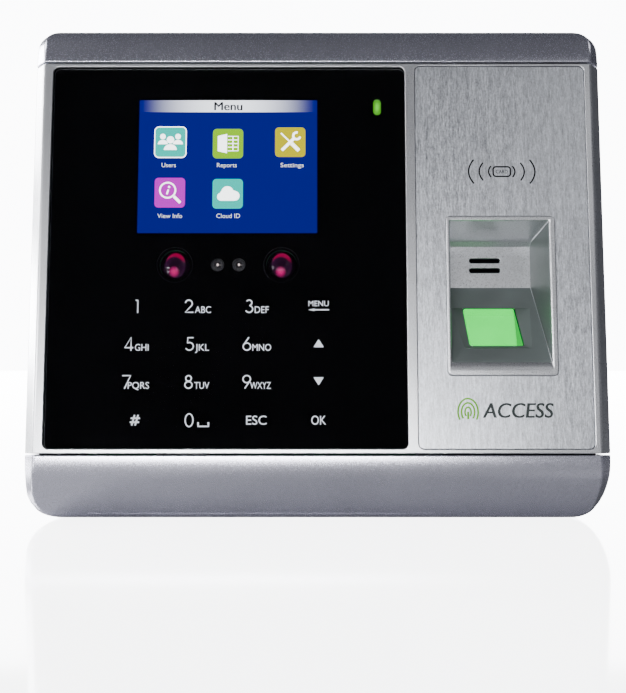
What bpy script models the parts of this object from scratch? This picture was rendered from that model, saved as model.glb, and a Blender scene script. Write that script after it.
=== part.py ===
"""Fingerprint scanner terminal: touch keypad, colour display, finger well and wall plate.

Frame: +X right and -Y towards the user, +Z up, all placed in metres.  The origin is the
centre of the wall plate's back face, so the wall is the plane y = 0.  The front leans back:
its parts are modelled in the face frame, where x runs right, z runs up the face and y is
the depth behind the face.  Dimensions below are in millimetres unless a name says degrees.
"""
import math

import bmesh
import bpy
from mathutils import Matrix, Vector

MM = 0.001
GAP = 0.3

# Whole body, in the face frame
LEAN_DEG = 5.4
FACE_ORIGIN = (0.0, -33.0, 7.0)
SEAM = 62.9
SEAM_GROOVE = 0.5
FACE_HALF_WIDTH = 88.35
BODY_HALF_WIDTH = 92.1
CHAMFER_DEPTH = 4.0
PARTING_DEPTH = 16.0
WALL = 2.2
TOP_ARCS = ((15.8, 84.6),)
CHIN_ARCS = ((20.0, 22.0), (63.0, 10.0), (6.0, 63.4))
CHAMFER_FADE = 0.32
TOP_CORNERS = ((9.0, 9.0), (10.0, 10.0))
CHIN_CORNERS = ((9.5, 9.5), (10.0, 17.0))

# Front panels
GLASS = (-85.3, 28.05, -61.1, 61.4)
GLASS_DEPTHS = (0.45, 2.25)
GLASS_CORNER = 1.8
PLATE = (31.4, 86.0, -61.2, 61.7)
PLATE_DEPTHS = (0.4, 1.2)
PLATE_CORNER = 1.7
LEDGE_DEPTHS = (2.55, 4.5)
PLATE_LEDGE_DEPTH = 1.5

# Finger well and its optical sensor
WELL = (40.7, 75.4, -38.5, 12.4)
WELL_INSIDE = (41.9, 73.7)
WELL_PROUD = 0.4
WELL_CAVITY = ((10.8, -2.0), (10.8, 0.0), (8.4, 20.0), (7.0, 21.6), (-7.2, 21.6),
               (-32.3, 1.8), (-35.5, -0.4), (-35.5, -2.0))
WELL_OUTSIDE = ((12.4, -0.4), (12.4, 3.0), (10.6, 23.2), (-8.4, 23.2),
                (-33.3, 3.1), (-38.5, 3.1), (-38.5, -0.4))
WELL_SLOT = (10.6, 1.6)
WELL_SLOT_X = 57.3
WELL_SLOT_ROWS = (2.2, -1.2)
WINDOW_CENTRE = (57.5, 11.8, -21.5)
WINDOW_TILT_DEG = 49.05
WINDOW = (17.0, 18.0, 4.3)
BEZEL = (25.4, 26.4)
BEZEL_DEPTHS = (-1.3, 1.0)
BEZEL_DISH = 3.4
SENSOR_BODY = (22.0, 23.4, 7.3)
SENSOR_WALL = 1.4
SPEAKER_CENTRE = (57.5, 0.0)

# Display, keypad and indicators
SCREEN_CENTRE = (-28.5, 28.8)
SCREEN = (57.6, 43.2)
KEY_COLUMNS = (-57.2, 0.3)
KEY_ROWS = (-52.1, -16.3)
STATUS_LIGHT = (19.3, 48.8, 2.5, 5.3)
SENSOR_ROW = -3.0
EMITTER_OFFSET = 17.0
RECEIVER_OFFSET = 3.4
EMITTER_RING = 11.4
RECEIVER_RING = 4.2
FRONT_BOARD_DEPTHS = (7.0, 8.2)

# Rear housing and boards, in the world frame
BACK = -1.8
BACK_WALL = 2.4
REAR_INSET = 0.6
REAR_CORNER = 9.5
BOARD = (-79.0, 34.0, -71.0, 55.0)
BOARD_DEPTHS = (-10.0, -8.4)
BAY = (-30.0, 30.0, -35.0, -7.0)
POST_X = 84.0
POST_Z = (-43.0, 57.0)
POST_RADIUS = 3.5
SCREW_RADIUS = 1.3

# Wall plate
HANGER = (-65.0, 65.0, -73.7, 73.7)
HANGER_THICKNESS = 1.5
CABLE_HOLE = (-28.0, 28.0, -33.0, -9.0)
SCREW_HOLES = (52.0, 58.0)
HOOK_X = 40.0
HOOK_ROWS = (-55.0, 38.0)
HOOK = (10.0, 6.0, 1.5)
LIFT = 8.0
TAB = (13.0, 14.0)
LOCK_SCREW_Y = -8.5
PLUNGER_AT = (20.0, 20.0)
RESET_AT = (-29.0, -12.4)

COLOURS = {
    "silver_paint": ((0.47, 0.48, 0.53, 1.0), 0.38, 0.6),
    "cap_paint": ((0.36, 0.36, 0.41, 1.0), 0.34, 0.6),
    "black_glass": ((0.006, 0.006, 0.007, 1.0), 0.05, 0.0),
    "brushed_metal": ((0.40, 0.41, 0.43, 1.0), 0.32, 1.0),
    "finger_window": ((0.12, 0.85, 0.22, 1.0), 0.12, 0.0),
    "screen": ((0.0, 0.03, 0.24, 1.0), 0.12, 0.0),
    "lime_light": ((0.35, 0.85, 0.05, 1.0), 0.2, 0.0),
    "infrared_lens": ((0.30, 0.02, 0.10, 1.0), 0.1, 0.0),
    "black_plastic": ((0.02, 0.02, 0.022, 1.0), 0.5, 0.0),
    "clear_plastic": ((0.75, 0.78, 0.80, 1.0), 0.15, 0.0),
    "circuit_board": ((0.02, 0.16, 0.07, 1.0), 0.45, 0.0),
    "steel": ((0.55, 0.56, 0.58, 1.0), 0.3, 1.0),
    "amber_film": ((0.45, 0.20, 0.03, 1.0), 0.35, 0.0),
}


# ---------------------------------------------------------------- scene and mesh helpers

def clear_scene():
    for old in list(bpy.data.objects):
        bpy.data.objects.remove(old, do_unlink=True)


def make_material(slot):
    """One Principled material for each slot, made the first time it is asked for."""
    found = bpy.data.materials.get(slot)
    if found:
        return found
    colour, roughness, metallic = COLOURS[slot]
    material = bpy.data.materials.new(slot)
    material.use_nodes = True
    shader = material.node_tree.nodes["Principled BSDF"]
    shader.inputs["Base Color"].default_value = colour
    shader.inputs["Roughness"].default_value = roughness
    shader.inputs["Metallic"].default_value = metallic
    return material


def make_empty(name, location, rotation=(0.0, 0.0, 0.0), parent=None):
    empty = bpy.data.objects.new(name, None)
    empty.location = Vector(location) * MM
    empty.rotation_euler = rotation
    empty.parent = parent
    bpy.context.scene.collection.objects.link(empty)
    return empty


def add_object(name, bm, slot, parent=None, location=(0.0, 0.0, 0.0)):
    """Turn a bmesh drawn in millimetres into a named object."""
    bmesh.ops.scale(bm, vec=(MM, MM, MM), verts=bm.verts)
    bmesh.ops.recalc_face_normals(bm, faces=bm.faces)
    mesh = bpy.data.meshes.new(name)
    bm.to_mesh(mesh)
    bm.free()
    obj = bpy.data.objects.new(name, mesh)
    obj.location = Vector(location) * MM
    obj.parent = parent
    if slot:
        mesh.materials.append(make_material(slot))
    bpy.context.scene.collection.objects.link(obj)
    return obj


def shade_round(obj):
    obj.data.shade_smooth()
    obj.data.set_sharp_from_angle(angle=math.radians(35))
    return obj


def block_mesh(x0, x1, y0, y1, z0, z1):
    bm = bmesh.new()
    bmesh.ops.create_cube(bm, size=1.0)
    bmesh.ops.scale(bm, vec=(x1 - x0, y1 - y0, z1 - z0), verts=bm.verts)
    bmesh.ops.translate(bm, vec=((x0 + x1) / 2, (y0 + y1) / 2, (z0 + z1) / 2), verts=bm.verts)
    return bm


def block(name, x, y, z, slot, parent=None):
    """A box between the pairs x, y and z."""
    return add_object(name, block_mesh(*x, *y, *z), slot, parent)


def prism_mesh(outline, start, end, axis="Y"):
    """Extrude an outline of (x, z) pairs along Y, or of (z, y) pairs along X."""
    bm = bmesh.new()
    if axis == "Y":
        first = [bm.verts.new((x, start, z)) for x, z in outline]
        travel = (0.0, end - start, 0.0)
    else:
        first = [bm.verts.new((start, y, z)) for z, y in outline]
        travel = (end - start, 0.0, 0.0)
    face = bm.faces.new(first)
    moved = bmesh.ops.extrude_face_region(bm, geom=[face])["geom"]
    new_verts = [item for item in moved if isinstance(item, bmesh.types.BMVert)]
    bmesh.ops.translate(bm, vec=travel, verts=new_verts)
    return bm


def rounded_outline(rect, radius, steps=4):
    """Corner arcs of a rectangle (x0, x1, z0, z1), anticlockwise seen along +Y."""
    x0, x1, z0, z1 = rect
    centres = ((x1 - radius, z1 - radius, 0), (x0 + radius, z1 - radius, 90),
               (x0 + radius, z0 + radius, 180), (x1 - radius, z0 + radius, 270))
    points = []
    for cx, cz, turn in centres:
        for step in range(steps + 1):
            angle = math.radians(turn + 90.0 * step / steps)
            points.append((cx + radius * math.cos(angle), cz + radius * math.sin(angle)))
    return points


def slab(name, rect, radius, depths, slot, parent=None, steps=4):
    """A plate with round corners between two depths."""
    outline = rounded_outline(rect, radius, steps)
    return add_object(name, prism_mesh(outline, *depths), slot, parent)


def grow(rect, amount):
    x0, x1, z0, z1 = rect
    return (x0 - amount, x1 + amount, z0 - amount, z1 + amount)


def around(centre, width, height):
    x, z = centre
    return (x - width / 2, x + width / 2, z - height / 2, z + height / 2)


def rod_mesh(radius, start, end, segments=20, axis="Y"):
    """A cylinder on the origin's axis, from start to end along Y or Z."""
    bm = bmesh.new()
    bmesh.ops.create_cone(bm, cap_ends=True, segments=segments, radius1=radius,
                          radius2=radius, depth=end - start)
    bmesh.ops.translate(bm, vec=(0.0, 0.0, (start + end) / 2), verts=bm.verts)
    if axis == "Y":
        bmesh.ops.rotate(bm, matrix=Matrix.Rotation(-math.pi / 2, 3, "X"), verts=bm.verts)
    return bm


def turned_mesh(profile, segments=20, axis="Y"):
    """Revolve (radius, height) pairs about the axis, closing both ends."""
    bm = bmesh.new()
    rings = []
    for radius, height in profile:
        ring = []
        for step in range(segments):
            angle = 2.0 * math.pi * step / segments
            ring.append(bm.verts.new((radius * math.cos(angle), radius * math.sin(angle), height)))
        rings.append(ring)
    for lower, upper in zip(rings, rings[1:]):
        for step in range(segments):
            after = (step + 1) % segments
            bm.faces.new((lower[step], lower[after], upper[after], upper[step]))
    bm.faces.new(rings[0])
    bm.faces.new(rings[-1])
    if axis == "Y":
        bmesh.ops.rotate(bm, matrix=Matrix.Rotation(-math.pi / 2, 3, "X"), verts=bm.verts)
    return bm


def rod(name, radius, start, end, at, slot, parent=None, segments=20, axis="Y"):
    return shade_round(add_object(name, rod_mesh(radius, start, end, segments, axis),
                                  slot, parent, at))


def turned(name, profile, at, slot, parent=None, segments=20, axis="Y"):
    return shade_round(add_object(name, turned_mesh(profile, segments, axis), slot, parent, at))


def boolean(target, tool, operation):
    modifier = target.modifiers.new(tool.name, "BOOLEAN")
    modifier.object = tool
    modifier.operation = operation
    modifier.solver = "EXACT"
    tool.hide_render = True
    tool.display_type = "WIRE"


def cut(target, label, bm, parent=None, location=(0.0, 0.0, 0.0)):
    tool = add_object(f"{target.name}_{label}_cutter", bm, None, parent, location)
    boolean(target, tool, "DIFFERENCE")


def join(target, label, bm, parent=None, location=(0.0, 0.0, 0.0)):
    tool = add_object(f"{target.name}_{label}_guide", bm, None, parent, location)
    boolean(target, tool, "UNION")


# ---------------------------------------------------------------- outer shells

def cap_profile(arcs, inset, steps):
    """(height above the seam, depth) along a cap's centre line, arc after arc."""
    height, depth, turned_deg = 0.0, inset, 0.0
    points = [(height, depth)]
    for (radius, sweep), count in zip(arcs, steps):
        small = radius - inset
        for step in range(1, count + 1):
            angle = math.radians(turned_deg + sweep * step / count)
            begin = math.radians(turned_deg)
            points.append((height + small * (math.sin(angle) - math.sin(begin)),
                           depth + small * (math.cos(begin) - math.cos(angle))))
        height, depth = points[-1]
        turned_deg += sweep
    return points


def cap_half_width(height, top, corner, inset):
    """Half the body's width where a round corner of (across, up) radii ends it."""
    across, up = corner[0] - inset, corner[1] - inset
    over = max(0.0, height - (top - up))
    rest = math.sqrt(max(0.0, 1.0 - (over / up) ** 2))
    return BODY_HALF_WIDTH - inset - across * (1.0 - rest)


def cap_mesh(arcs, corners, steps, sign, inset=0.0, back=PARTING_DEPTH, seam_shift=0.0):
    """A closed solid from the seam to the parting plane, up (+1) or down (-1) the face."""
    profile = cap_profile(arcs, inset, steps)
    top = profile[-1][0]
    lean = math.tan(math.radians(LEAN_DEG))
    chamfer = BODY_HALF_WIDTH - FACE_HALF_WIDTH
    bm = bmesh.new()
    rows = []
    for height, depth in profile:
        share = height / top
        keep = 1.0 - (1.0 - CHAMFER_FADE) * share ** 2
        rear = height + sign * (back - depth) * lean * share
        left = -cap_half_width(height, top, corners[0], inset)
        right = cap_half_width(height, top, corners[1], inset)
        edge = min(depth + CHAMFER_DEPTH * keep, back - GAP)
        outline = ((left, back, rear), (left, edge, height), (left + chamfer * keep, depth, height),
                   (right - chamfer * keep, depth, height), (right, edge, height),
                   (right, back, rear))
        rows.append([bm.verts.new((x, y, sign * (SEAM + seam_shift + z))) for x, y, z in outline])
    for low, high in zip(rows, rows[1:]):
        for index in range(len(low)):
            after = (index + 1) % len(low)
            bm.faces.new((low[index], low[after], high[after], high[index]))
    bm.faces.new(rows[0])
    bm.faces.new(rows[-1])
    bmesh.ops.triangulate(bm, faces=bm.faces)
    return bm


def make_cap(name, arcs, corners, steps, sign, face):
    cap = add_object(name, cap_mesh(arcs, corners, steps, sign, seam_shift=SEAM_GROOVE / 2),
                     "cap_paint", face)
    hollow = cap_mesh(arcs, corners, steps, sign, inset=WALL, back=PARTING_DEPTH + WALL,
                      seam_shift=SEAM_GROOVE / 2 - 1.0)
    cut(cap, "hollow", hollow, face)
    return shade_round(cap)


def make_front_housing(face):
    """Middle shell: the frame round both panels, with ledges behind them and screw posts."""
    half = SEAM - SEAM_GROOVE / 2
    section = ((-BODY_HALF_WIDTH, PARTING_DEPTH), (-BODY_HALF_WIDTH, CHAMFER_DEPTH),
               (-FACE_HALF_WIDTH, 0.0), (FACE_HALF_WIDTH, 0.0),
               (BODY_HALF_WIDTH, CHAMFER_DEPTH), (BODY_HALF_WIDTH, PARTING_DEPTH))
    bm = bmesh.new()
    low = [bm.verts.new((x, y, -half)) for x, y in section]
    high = [bm.verts.new((x, y, half)) for x, y in section]
    for index in range(len(section)):
        after = (index + 1) % len(section)
        bm.faces.new((low[index], low[after], high[after], high[index]))
    bm.faces.new(low)
    bm.faces.new(high)
    housing = add_object("front_housing", bm, "silver_paint", face)
    inner = BODY_HALF_WIDTH - WALL
    cut(housing, "hollow", block_mesh(-inner, inner, LEDGE_DEPTHS[1], 30.0, WALL - half,
                                      half - WALL), face)
    for label, rect, corner, depth in (("glass", GLASS, GLASS_CORNER, LEDGE_DEPTHS[0]),
                                       ("plate", PLATE, PLATE_CORNER, PLATE_LEDGE_DEPTH)):
        outline = rounded_outline(grow(rect, 0.35), corner + 0.35)
        cut(housing, label, prism_mesh(outline, -3.0, depth), face)
    cut(housing, "well", block_mesh(WELL[0] - GAP, WELL[1] + GAP, -3.0, 30.0,
                                    WELL[2] - GAP, WELL[3] + GAP), face)
    x0, x1, z0, z1 = around(SCREEN_CENTRE, SCREEN[0] + 3.6, SCREEN[1] + 4.2)
    cut(housing, "screen", block_mesh(x0, x1, -3.0, 12.0, z0, z1), face)
    cut(housing, "keys", block_mesh(KEY_COLUMNS[0] - 11.0, KEY_COLUMNS[1] + 11.0, -3.0, 12.0,
                                    KEY_ROWS[0] - 4.5, KEY_ROWS[1] + 5.0), face)
    x0, x1, z0, z1 = around((SCREEN_CENTRE[0], SENSOR_ROW), 50.6, 13.6)
    cut(housing, "infrared", block_mesh(x0, x1, -3.0, 12.0, z0, z1), face)
    x0, x1, z0, z1 = around(STATUS_LIGHT[:2], STATUS_LIGHT[2] + 2 * GAP, STATUS_LIGHT[3] + 2 * GAP)
    cut(housing, "status", block_mesh(x0, x1, -3.0, 12.0, z0, z1), face)
    for x in (-POST_X, POST_X):
        for z in POST_Z:
            label = f"post_{'left' if x < 0 else 'right'}_{'top' if z > 0 else 'bottom'}"
            start = FACE_ORIGIN[1] + (z - FACE_ORIGIN[2]) * math.tan(math.radians(LEAN_DEG)) + 3.5
            join(housing, label, rod_mesh(POST_RADIUS, start, BACK - BACK_WALL - GAP, 12),
                 None, (x, 0.0, z))
            cut(housing, label, rod_mesh(SCREW_RADIUS + GAP, BACK - 13.0, 0.0, 12),
                None, (x, 0.0, z))
    return housing


def rear_limits():
    """Lowest and highest z of the rear housing, a step inside the caps' flat ends."""
    lean = math.radians(LEAN_DEG)
    limits = []
    for arcs, sign in ((CHIN_ARCS, -1), (TOP_ARCS, 1)):
        height, depth = cap_profile(arcs, 0.0, (1,) * len(arcs))[-1]
        up = sign * (SEAM + SEAM_GROOVE / 2 + height)
        flat = FACE_ORIGIN[2] + up * math.cos(lean) - depth * math.sin(lean)
        limits.append(flat - sign * REAR_INSET)
    return limits


def make_rear_housing(face):
    """Back shell: a wedge tray with openings for hooks, cables, sockets and screws."""
    low, high = rear_limits()
    half = BODY_HALF_WIDTH - REAR_INSET
    outline = rounded_outline((-half, half, low, high), REAR_CORNER)
    housing = add_object("rear_housing", prism_mesh(outline, -45.0, BACK), "black_plastic")
    inside = rounded_outline((WALL - half, half - WALL, low + WALL, high - WALL),
                             REAR_CORNER - WALL)
    cut(housing, "hollow", prism_mesh(inside, -60.0, BACK - BACK_WALL))
    join(housing, "lock_block", block_mesh(-19.0, 19.0, -20.5, BACK, low, low + 14.0))
    cut(housing, "parting", block_mesh(-200.0, 200.0, -80.0, PARTING_DEPTH + GAP, -200.0, 200.0),
        face)
    cut(housing, "lock_notch", block_mesh(-TAB[0] - 3.0, TAB[0] + 3.0, -TAB[1] - 4.0, 1.0,
                                          low - 2.0, HANGER[2] + HANGER_THICKNESS + GAP))
    cut(housing, "lock_hole", rod_mesh(1.8, low - 2.0, low + 16.0, 12, "Z"), None,
        (0.0, LOCK_SCREW_Y, 0.0))
    cut(housing, "bay", block_mesh(BAY[0], BAY[1], -7.0, 1.0, BAY[2], BAY[3]))
    for x in (-HOOK_X, HOOK_X):
        for z in HOOK_ROWS:
            label = f"hook_{'left' if x < 0 else 'right'}_{'top' if z > 0 else 'bottom'}"
            reach = HOOK[0] / 2 + GAP
            cut(housing, label, block_mesh(x - reach, x + reach, -7.0, 1.0,
                                           z - LIFT - 2 * GAP, z + HOOK[2] + GAP))
    cut(housing, "plunger", rod_mesh(2.3, -7.0, 1.0, 16), None,
        (PLUNGER_AT[0], 0.0, PLUNGER_AT[1]))
    for x in (-POST_X, POST_X):
        for z in POST_Z:
            label = f"screw_{'left' if x < 0 else 'right'}_{'top' if z > 0 else 'bottom'}"
            profile = ((SCREW_RADIUS + GAP, -7.0), (SCREW_RADIUS + GAP, BACK - 1.4),
                       (3.1, BACK - 1.4), (3.1, 1.0))
            cut(housing, label, turned_mesh(profile, 16), None, (x, 0.0, z))
    for label, (x0, x1), (y0, y1), _ in sockets():
        cut(housing, label, block_mesh(x0 - GAP, x1 + GAP, y0 - GAP, y1 + GAP, low - 2.0, low + 3.0))
    cut(housing, "reset", rod_mesh(1.8, low - 2.0, low + 3.0, 12, "Z"), None,
        (RESET_AT[0], RESET_AT[1], 0.0))
    return housing


# ---------------------------------------------------------------- front panels and well

def make_panels(face):
    slab("glass_panel", GLASS, GLASS_CORNER, GLASS_DEPTHS, "black_glass", face)
    plate = slab("brushed_plate", PLATE, PLATE_CORNER, PLATE_DEPTHS, "brushed_metal", face)
    cut(plate, "well", block_mesh(WELL[0] - GAP, WELL[1] + GAP, -3.0, 5.0,
                                  WELL[2] - GAP, WELL[3] + GAP), face)


def window_frame(face):
    """Empty on the middle of the finger window: Z points out of it, Y up its slope."""
    rotation = (math.radians(WINDOW_TILT_DEG), 0.0, 0.0)
    return make_empty("sensor_axis", WINDOW_CENTRE, rotation, face)


def make_finger_well(face, sensor):
    well = add_object("finger_well", prism_mesh(WELL_OUTSIDE, WELL[0], WELL[1], "X"),
                      "silver_paint", face)
    cut(well, "cavity", prism_mesh(WELL_CAVITY, *WELL_INSIDE, "X"), face)
    cut(well, "sensor", block_mesh(-BEZEL[0] / 2 - GAP, BEZEL[0] / 2 + GAP,
                                   -BEZEL[1] / 2 - GAP, BEZEL[1] / 2 + GAP, -12.0, 8.0), sensor)
    for number, z in enumerate(WELL_SLOT_ROWS, start=1):
        rect = around((WELL_SLOT_X, z), *WELL_SLOT)
        outline = rounded_outline(rect, WELL_SLOT[1] / 2 - 0.01)
        cut(well, f"slot_{number}", prism_mesh(outline, 18.0, 26.0), face)


def make_sensor(sensor):
    """Prism window in its bezel, over a closed optical block with lamps, lens and board."""
    half_x, half_y = BEZEL[0] / 2, BEZEL[1] / 2
    bezel = block("sensor_bezel", (-half_x, half_x), (-half_y, half_y), BEZEL_DEPTHS,
                  "silver_paint", sensor)
    opening = (WINDOW[0] / 2 + GAP, WINDOW[1] / 2 + GAP)
    cut(bezel, "opening", block_mesh(-opening[0], opening[0], -opening[1], opening[1],
                                     -5.0, 5.0), sensor)
    dish = bmesh.new()
    rims = []
    for height, spread in ((-0.2, 0.0), (BEZEL_DEPTHS[1] + 0.2, BEZEL_DISH)):
        x, y = opening[0] + spread - 0.05, opening[1] + spread - 0.05
        rims.append([dish.verts.new(corner) for corner in
                     ((-x, -y, height), (x, -y, height), (x, y, height), (-x, y, height))])
    dish.faces.new(rims[0])
    dish.faces.new(rims[1])
    for index in range(4):
        after = (index + 1) % 4
        dish.faces.new((rims[0][index], rims[0][after], rims[1][after], rims[1][index]))
    cut(bezel, "dish", dish, sensor)
    window_top = -0.2
    window_base = window_top - WINDOW[2]
    block("sensor_window", (-WINDOW[0] / 2, WINDOW[0] / 2), (-WINDOW[1] / 2, WINDOW[1] / 2),
          (window_base, window_top), "finger_window", sensor)
    body_top = window_base - GAP
    body_base = body_top - SENSOR_BODY[2]
    body = block("sensor_body", (-SENSOR_BODY[0] / 2, SENSOR_BODY[0] / 2),
                 (-SENSOR_BODY[1] / 2, SENSOR_BODY[1] / 2), (body_base, body_top),
                 "black_plastic", sensor)
    inner = (SENSOR_BODY[0] / 2 - SENSOR_WALL, SENSOR_BODY[1] / 2 - SENSOR_WALL)
    cut(body, "hollow", block_mesh(-inner[0], inner[0], -inner[1], inner[1],
                                   body_base - 1.0, body_top - SENSOR_WALL), sensor)
    cut(body, "mouth", block_mesh(-7.5, 7.5, -8.0, 8.0, body_top - 3.0, body_top + 1.0), sensor)
    board_top = body_base - GAP
    block("sensor_board", (-11.0, 11.0), (-11.7, 11.7), (board_top - 1.2, board_top),
          "circuit_board", sensor)
    turned("sensor_lens", ((2.6, board_top + GAP), (2.6, board_top + 2.5), (1.8, board_top + 3.4),
                           (0.9, board_top + 3.7)),
           (0.0, 0.0, 0.0), "clear_plastic", sensor, axis="Z")
    for side, y in (("upper", 7.0), ("lower", -7.0)):
        block(f"sensor_lamp_{side}", (-4.0, 4.0), (y - 1.2, y + 1.2),
              (board_top + GAP, board_top + 1.7), "lime_light", sensor)


def make_speaker(face):
    x, z = SPEAKER_CENTRE
    start = WELL_OUTSIDE[2][1] + GAP
    basket = rod("speaker_basket", 7.5, start, start + 3.2, (x, 0.0, z), "black_plastic", face)
    cut(basket, "seat", rod_mesh(6.6, start - 1.0, start + 2.2, 20), face, (x, 0.0, z))
    cut(basket, "vent", rod_mesh(3.2, start, start + 6.0, 16), face, (x, 0.0, z))
    turned("speaker_cone", ((1.6, start + 1.9), (2.8, start + 1.9), (6.2, start + 0.5),
                            (6.2, start + 0.2), (1.6, start + 0.9)),
           (x, 0.0, z), "clear_plastic", face)
    rod("speaker_magnet", 4.2, start + 3.2 + GAP, start + 5.0, (x, 0.0, z), "steel", face)


# ---------------------------------------------------------------- display and keypad

def make_display(face):
    x0, x1, z0, z1 = around(SCREEN_CENTRE, SCREEN[0] + 3.0, SCREEN[1] + 3.6)
    start = GLASS_DEPTHS[1] + GAP
    block("display_cell", (x0, x1), (start, start + 1.2), (z0, z1), "screen", face)
    x0, x1, z0, z1 = around(SCREEN_CENTRE, 69.2, 50.0)
    block("display_backlight", (x0, x1), (LEDGE_DEPTHS[1] + GAP, FRONT_BOARD_DEPTHS[0] - GAP),
          (z0, z1), "steel", face)


def make_keypad(face):
    x0, x1 = KEY_COLUMNS[0] - 10.5, KEY_COLUMNS[1] + 10.5
    z0, z1 = KEY_ROWS[0] - 4.0, KEY_ROWS[1] + 4.5
    start = GLASS_DEPTHS[1] + GAP
    block("key_light_guide", (x0, x1), (start, start + 1.6), (z0, z1), "clear_plastic", face)
    block("touch_board", (x0 - 3.0, x1 + 3.0), (LEDGE_DEPTHS[1] + GAP, 6.0),
          (z0 - 1.0, z1), "circuit_board", face)


def make_indicators(face):
    """Status light, two infrared emitters and two receivers in a black holder."""
    x, z, width, height = STATUS_LIGHT
    start = GLASS_DEPTHS[1] + GAP
    rect = around((x, z), width, height)
    slab("status_light_pipe", rect, width / 2 - 0.02, (start, 5.0), "lime_light", face)
    block("status_led", (x - 1.4, x + 1.4), (5.0 + GAP, FRONT_BOARD_DEPTHS[0] - GAP),
          (z - 1.0, z + 1.0), "lime_light", face)
    middle = SCREEN_CENTRE[0]
    rect = around((middle, SENSOR_ROW), 50.0, 12.9)
    holder = slab("infrared_holder", rect, 2.0, (start, 4.6), "black_plastic", face)
    for side, sign in (("left", -1), ("right", 1)):
        emitter = (middle + sign * EMITTER_OFFSET, 0.0, SENSOR_ROW)
        receiver = (middle + sign * RECEIVER_OFFSET, 0.0, SENSOR_ROW)
        cut(holder, f"emitter_{side}", rod_mesh(EMITTER_RING / 2, 1.0, 8.0, 24), face, emitter)
        cut(holder, f"receiver_{side}", rod_mesh(RECEIVER_RING / 2, 1.0, 8.0, 16), face, receiver)
        turned(f"infrared_emitter_{side}",
               ((1.3, 2.7), (2.5, 3.3), (3.1, 4.4), (3.25, 5.4), (3.25, FRONT_BOARD_DEPTHS[0] - GAP)),
               emitter, "infrared_lens", face)
        turned(f"infrared_receiver_{side}",
               ((0.9, 2.9), (1.6, 3.4), (1.6, FRONT_BOARD_DEPTHS[0] - GAP)),
               receiver, "clear_plastic", face, 16)
    front = slab("front_board", (-82.0, 27.0, -57.0, 57.0), 2.0, FRONT_BOARD_DEPTHS,
                 "circuit_board", face)
    for x in (-POST_X,):
        for z in POST_Z:
            label = f"clearance_{'top' if z > 0 else 'bottom'}"
            cut(front, label, rod_mesh(POST_RADIUS + 1.5, -60.0, 0.0, 12), None, (x, 0.0, z))
    slab("card_antenna", (36.0, 79.0, 16.0, 54.0), 3.0, (5.0, 6.2), "circuit_board", face)


# ---------------------------------------------------------------- rear electronics

def sockets():
    """Name, x range, y range and length up from the underside of each socket."""
    front = BOARD_DEPTHS[0] - GAP
    return (("usb_port", (-74.6, -61.4), (front - 6.0, front), 14.0),
            ("network_jack", (-53.0, -37.0), (front - 12.0, front), 21.0),
            ("power_jack", (22.5, 31.5), (front - 10.5, front), 13.5))


def make_sockets(base):
    """Sockets on the board's lower edge; their mouths face down through the rear housing."""
    hollows = {"usb_port": (0.6, 1.5, 9.0), "network_jack": (2.1, 2.0, 13.0)}
    for name, (x0, x1), (y0, y1), length in sockets():
        slot = "black_plastic" if name == "power_jack" else "steel"
        socket = block(name, (x0, x1), (y0, y1), (base, base + length), slot)
        if name in hollows:
            side, thick, depth = hollows[name]
            cut(socket, "mouth", block_mesh(x0 + side, x1 - side, y0 + thick, y1 - thick,
                                            base - 1.0, base + depth))
        else:
            centre = ((x0 + x1) / 2, (y0 + y1) / 2, 0.0)
            cut(socket, "mouth", rod_mesh(3.1, base - 1.0, base + 9.0, 16, "Z"), None, centre)
            join(socket, "pin", rod_mesh(1.0, base + 1.0, base + 9.5, 10, "Z"), None, centre)


def make_main_board(base):
    front = BOARD_DEPTHS[0] - GAP
    rear = BOARD_DEPTHS[1] + GAP
    board = slab("main_board", BOARD, 2.0, BOARD_DEPTHS, "circuit_board")
    cut(board, "lock_block", block_mesh(-20.0, 20.0, -15.0, 0.0, -90.0, base + 14.6))
    block("processor", (-38.0, -22.0), (front - 1.4, front), (2.0, 18.0), "black_plastic")
    block("memory_chip", (-14.0, -2.0), (front - 1.2, front), (4.0, 16.0), "black_plastic")
    block("door_relay", (-16.0, 3.0), (front - 15.0, front), (-52.0, -37.0), "black_plastic")
    rod("buzzer", 6.0, front - 7.5, front, (18.0, 0.0, -40.0), "black_plastic")
    clip = slab("coin_cell_holder", (-68.0, -44.0, 22.0, 46.0), 3.0, (front - 4.4, front),
                "black_plastic")
    cut(clip, "seat", rod_mesh(10.3, front - 6.0, front - 0.9, 24), None, (-56.0, 0.0, 34.0))
    rod("coin_cell", 10.0, front - 4.4, front - 1.2, (-56.0, 0.0, 34.0), "steel", None, 24)
    for side, x in (("left", -15.0), ("right", 15.0)):
        header = block(f"wiring_header_{side}", (x - 12.0, x + 12.0), (rear, rear + 5.2),
                       (-14.0, -9.0), "clear_plastic")
        cut(header, "mouth", block_mesh(x - 11.2, x + 11.2, rear + 1.2, 0.0, -13.2, -9.8))
    block("reset_switch", (RESET_AT[0] - 2.2, RESET_AT[0] + 2.2), (front - 4.3, front),
          (base + 5.6, base + 9.6), "black_plastic")
    x, z = PLUNGER_AT
    block("tamper_switch", (x - 3.0, x + 3.0), (rear, rear + 0.6), (z - 3.0, z + 3.0), "steel")


def make_flat_cable(name, x, outline):
    """A flat cable of the x range, folded along an outline of (z, y) pairs."""
    add_object(name, prism_mesh(outline, *x, "X"), "amber_film")


def make_cables():
    front = BOARD_DEPTHS[0] - GAP
    thick = 0.4
    make_flat_cable("display_cable", (-74.0, -56.0),
                    ((-6.0, front), (-6.0, front - 9.0), (-12.0, front - 9.0 - thick),
                     (-12.0, front - 9.0), (-6.0 - thick, front - 9.0 + thick),
                     (-6.0 - thick, front)))


# ---------------------------------------------------------------- wall plate and movers

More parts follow.
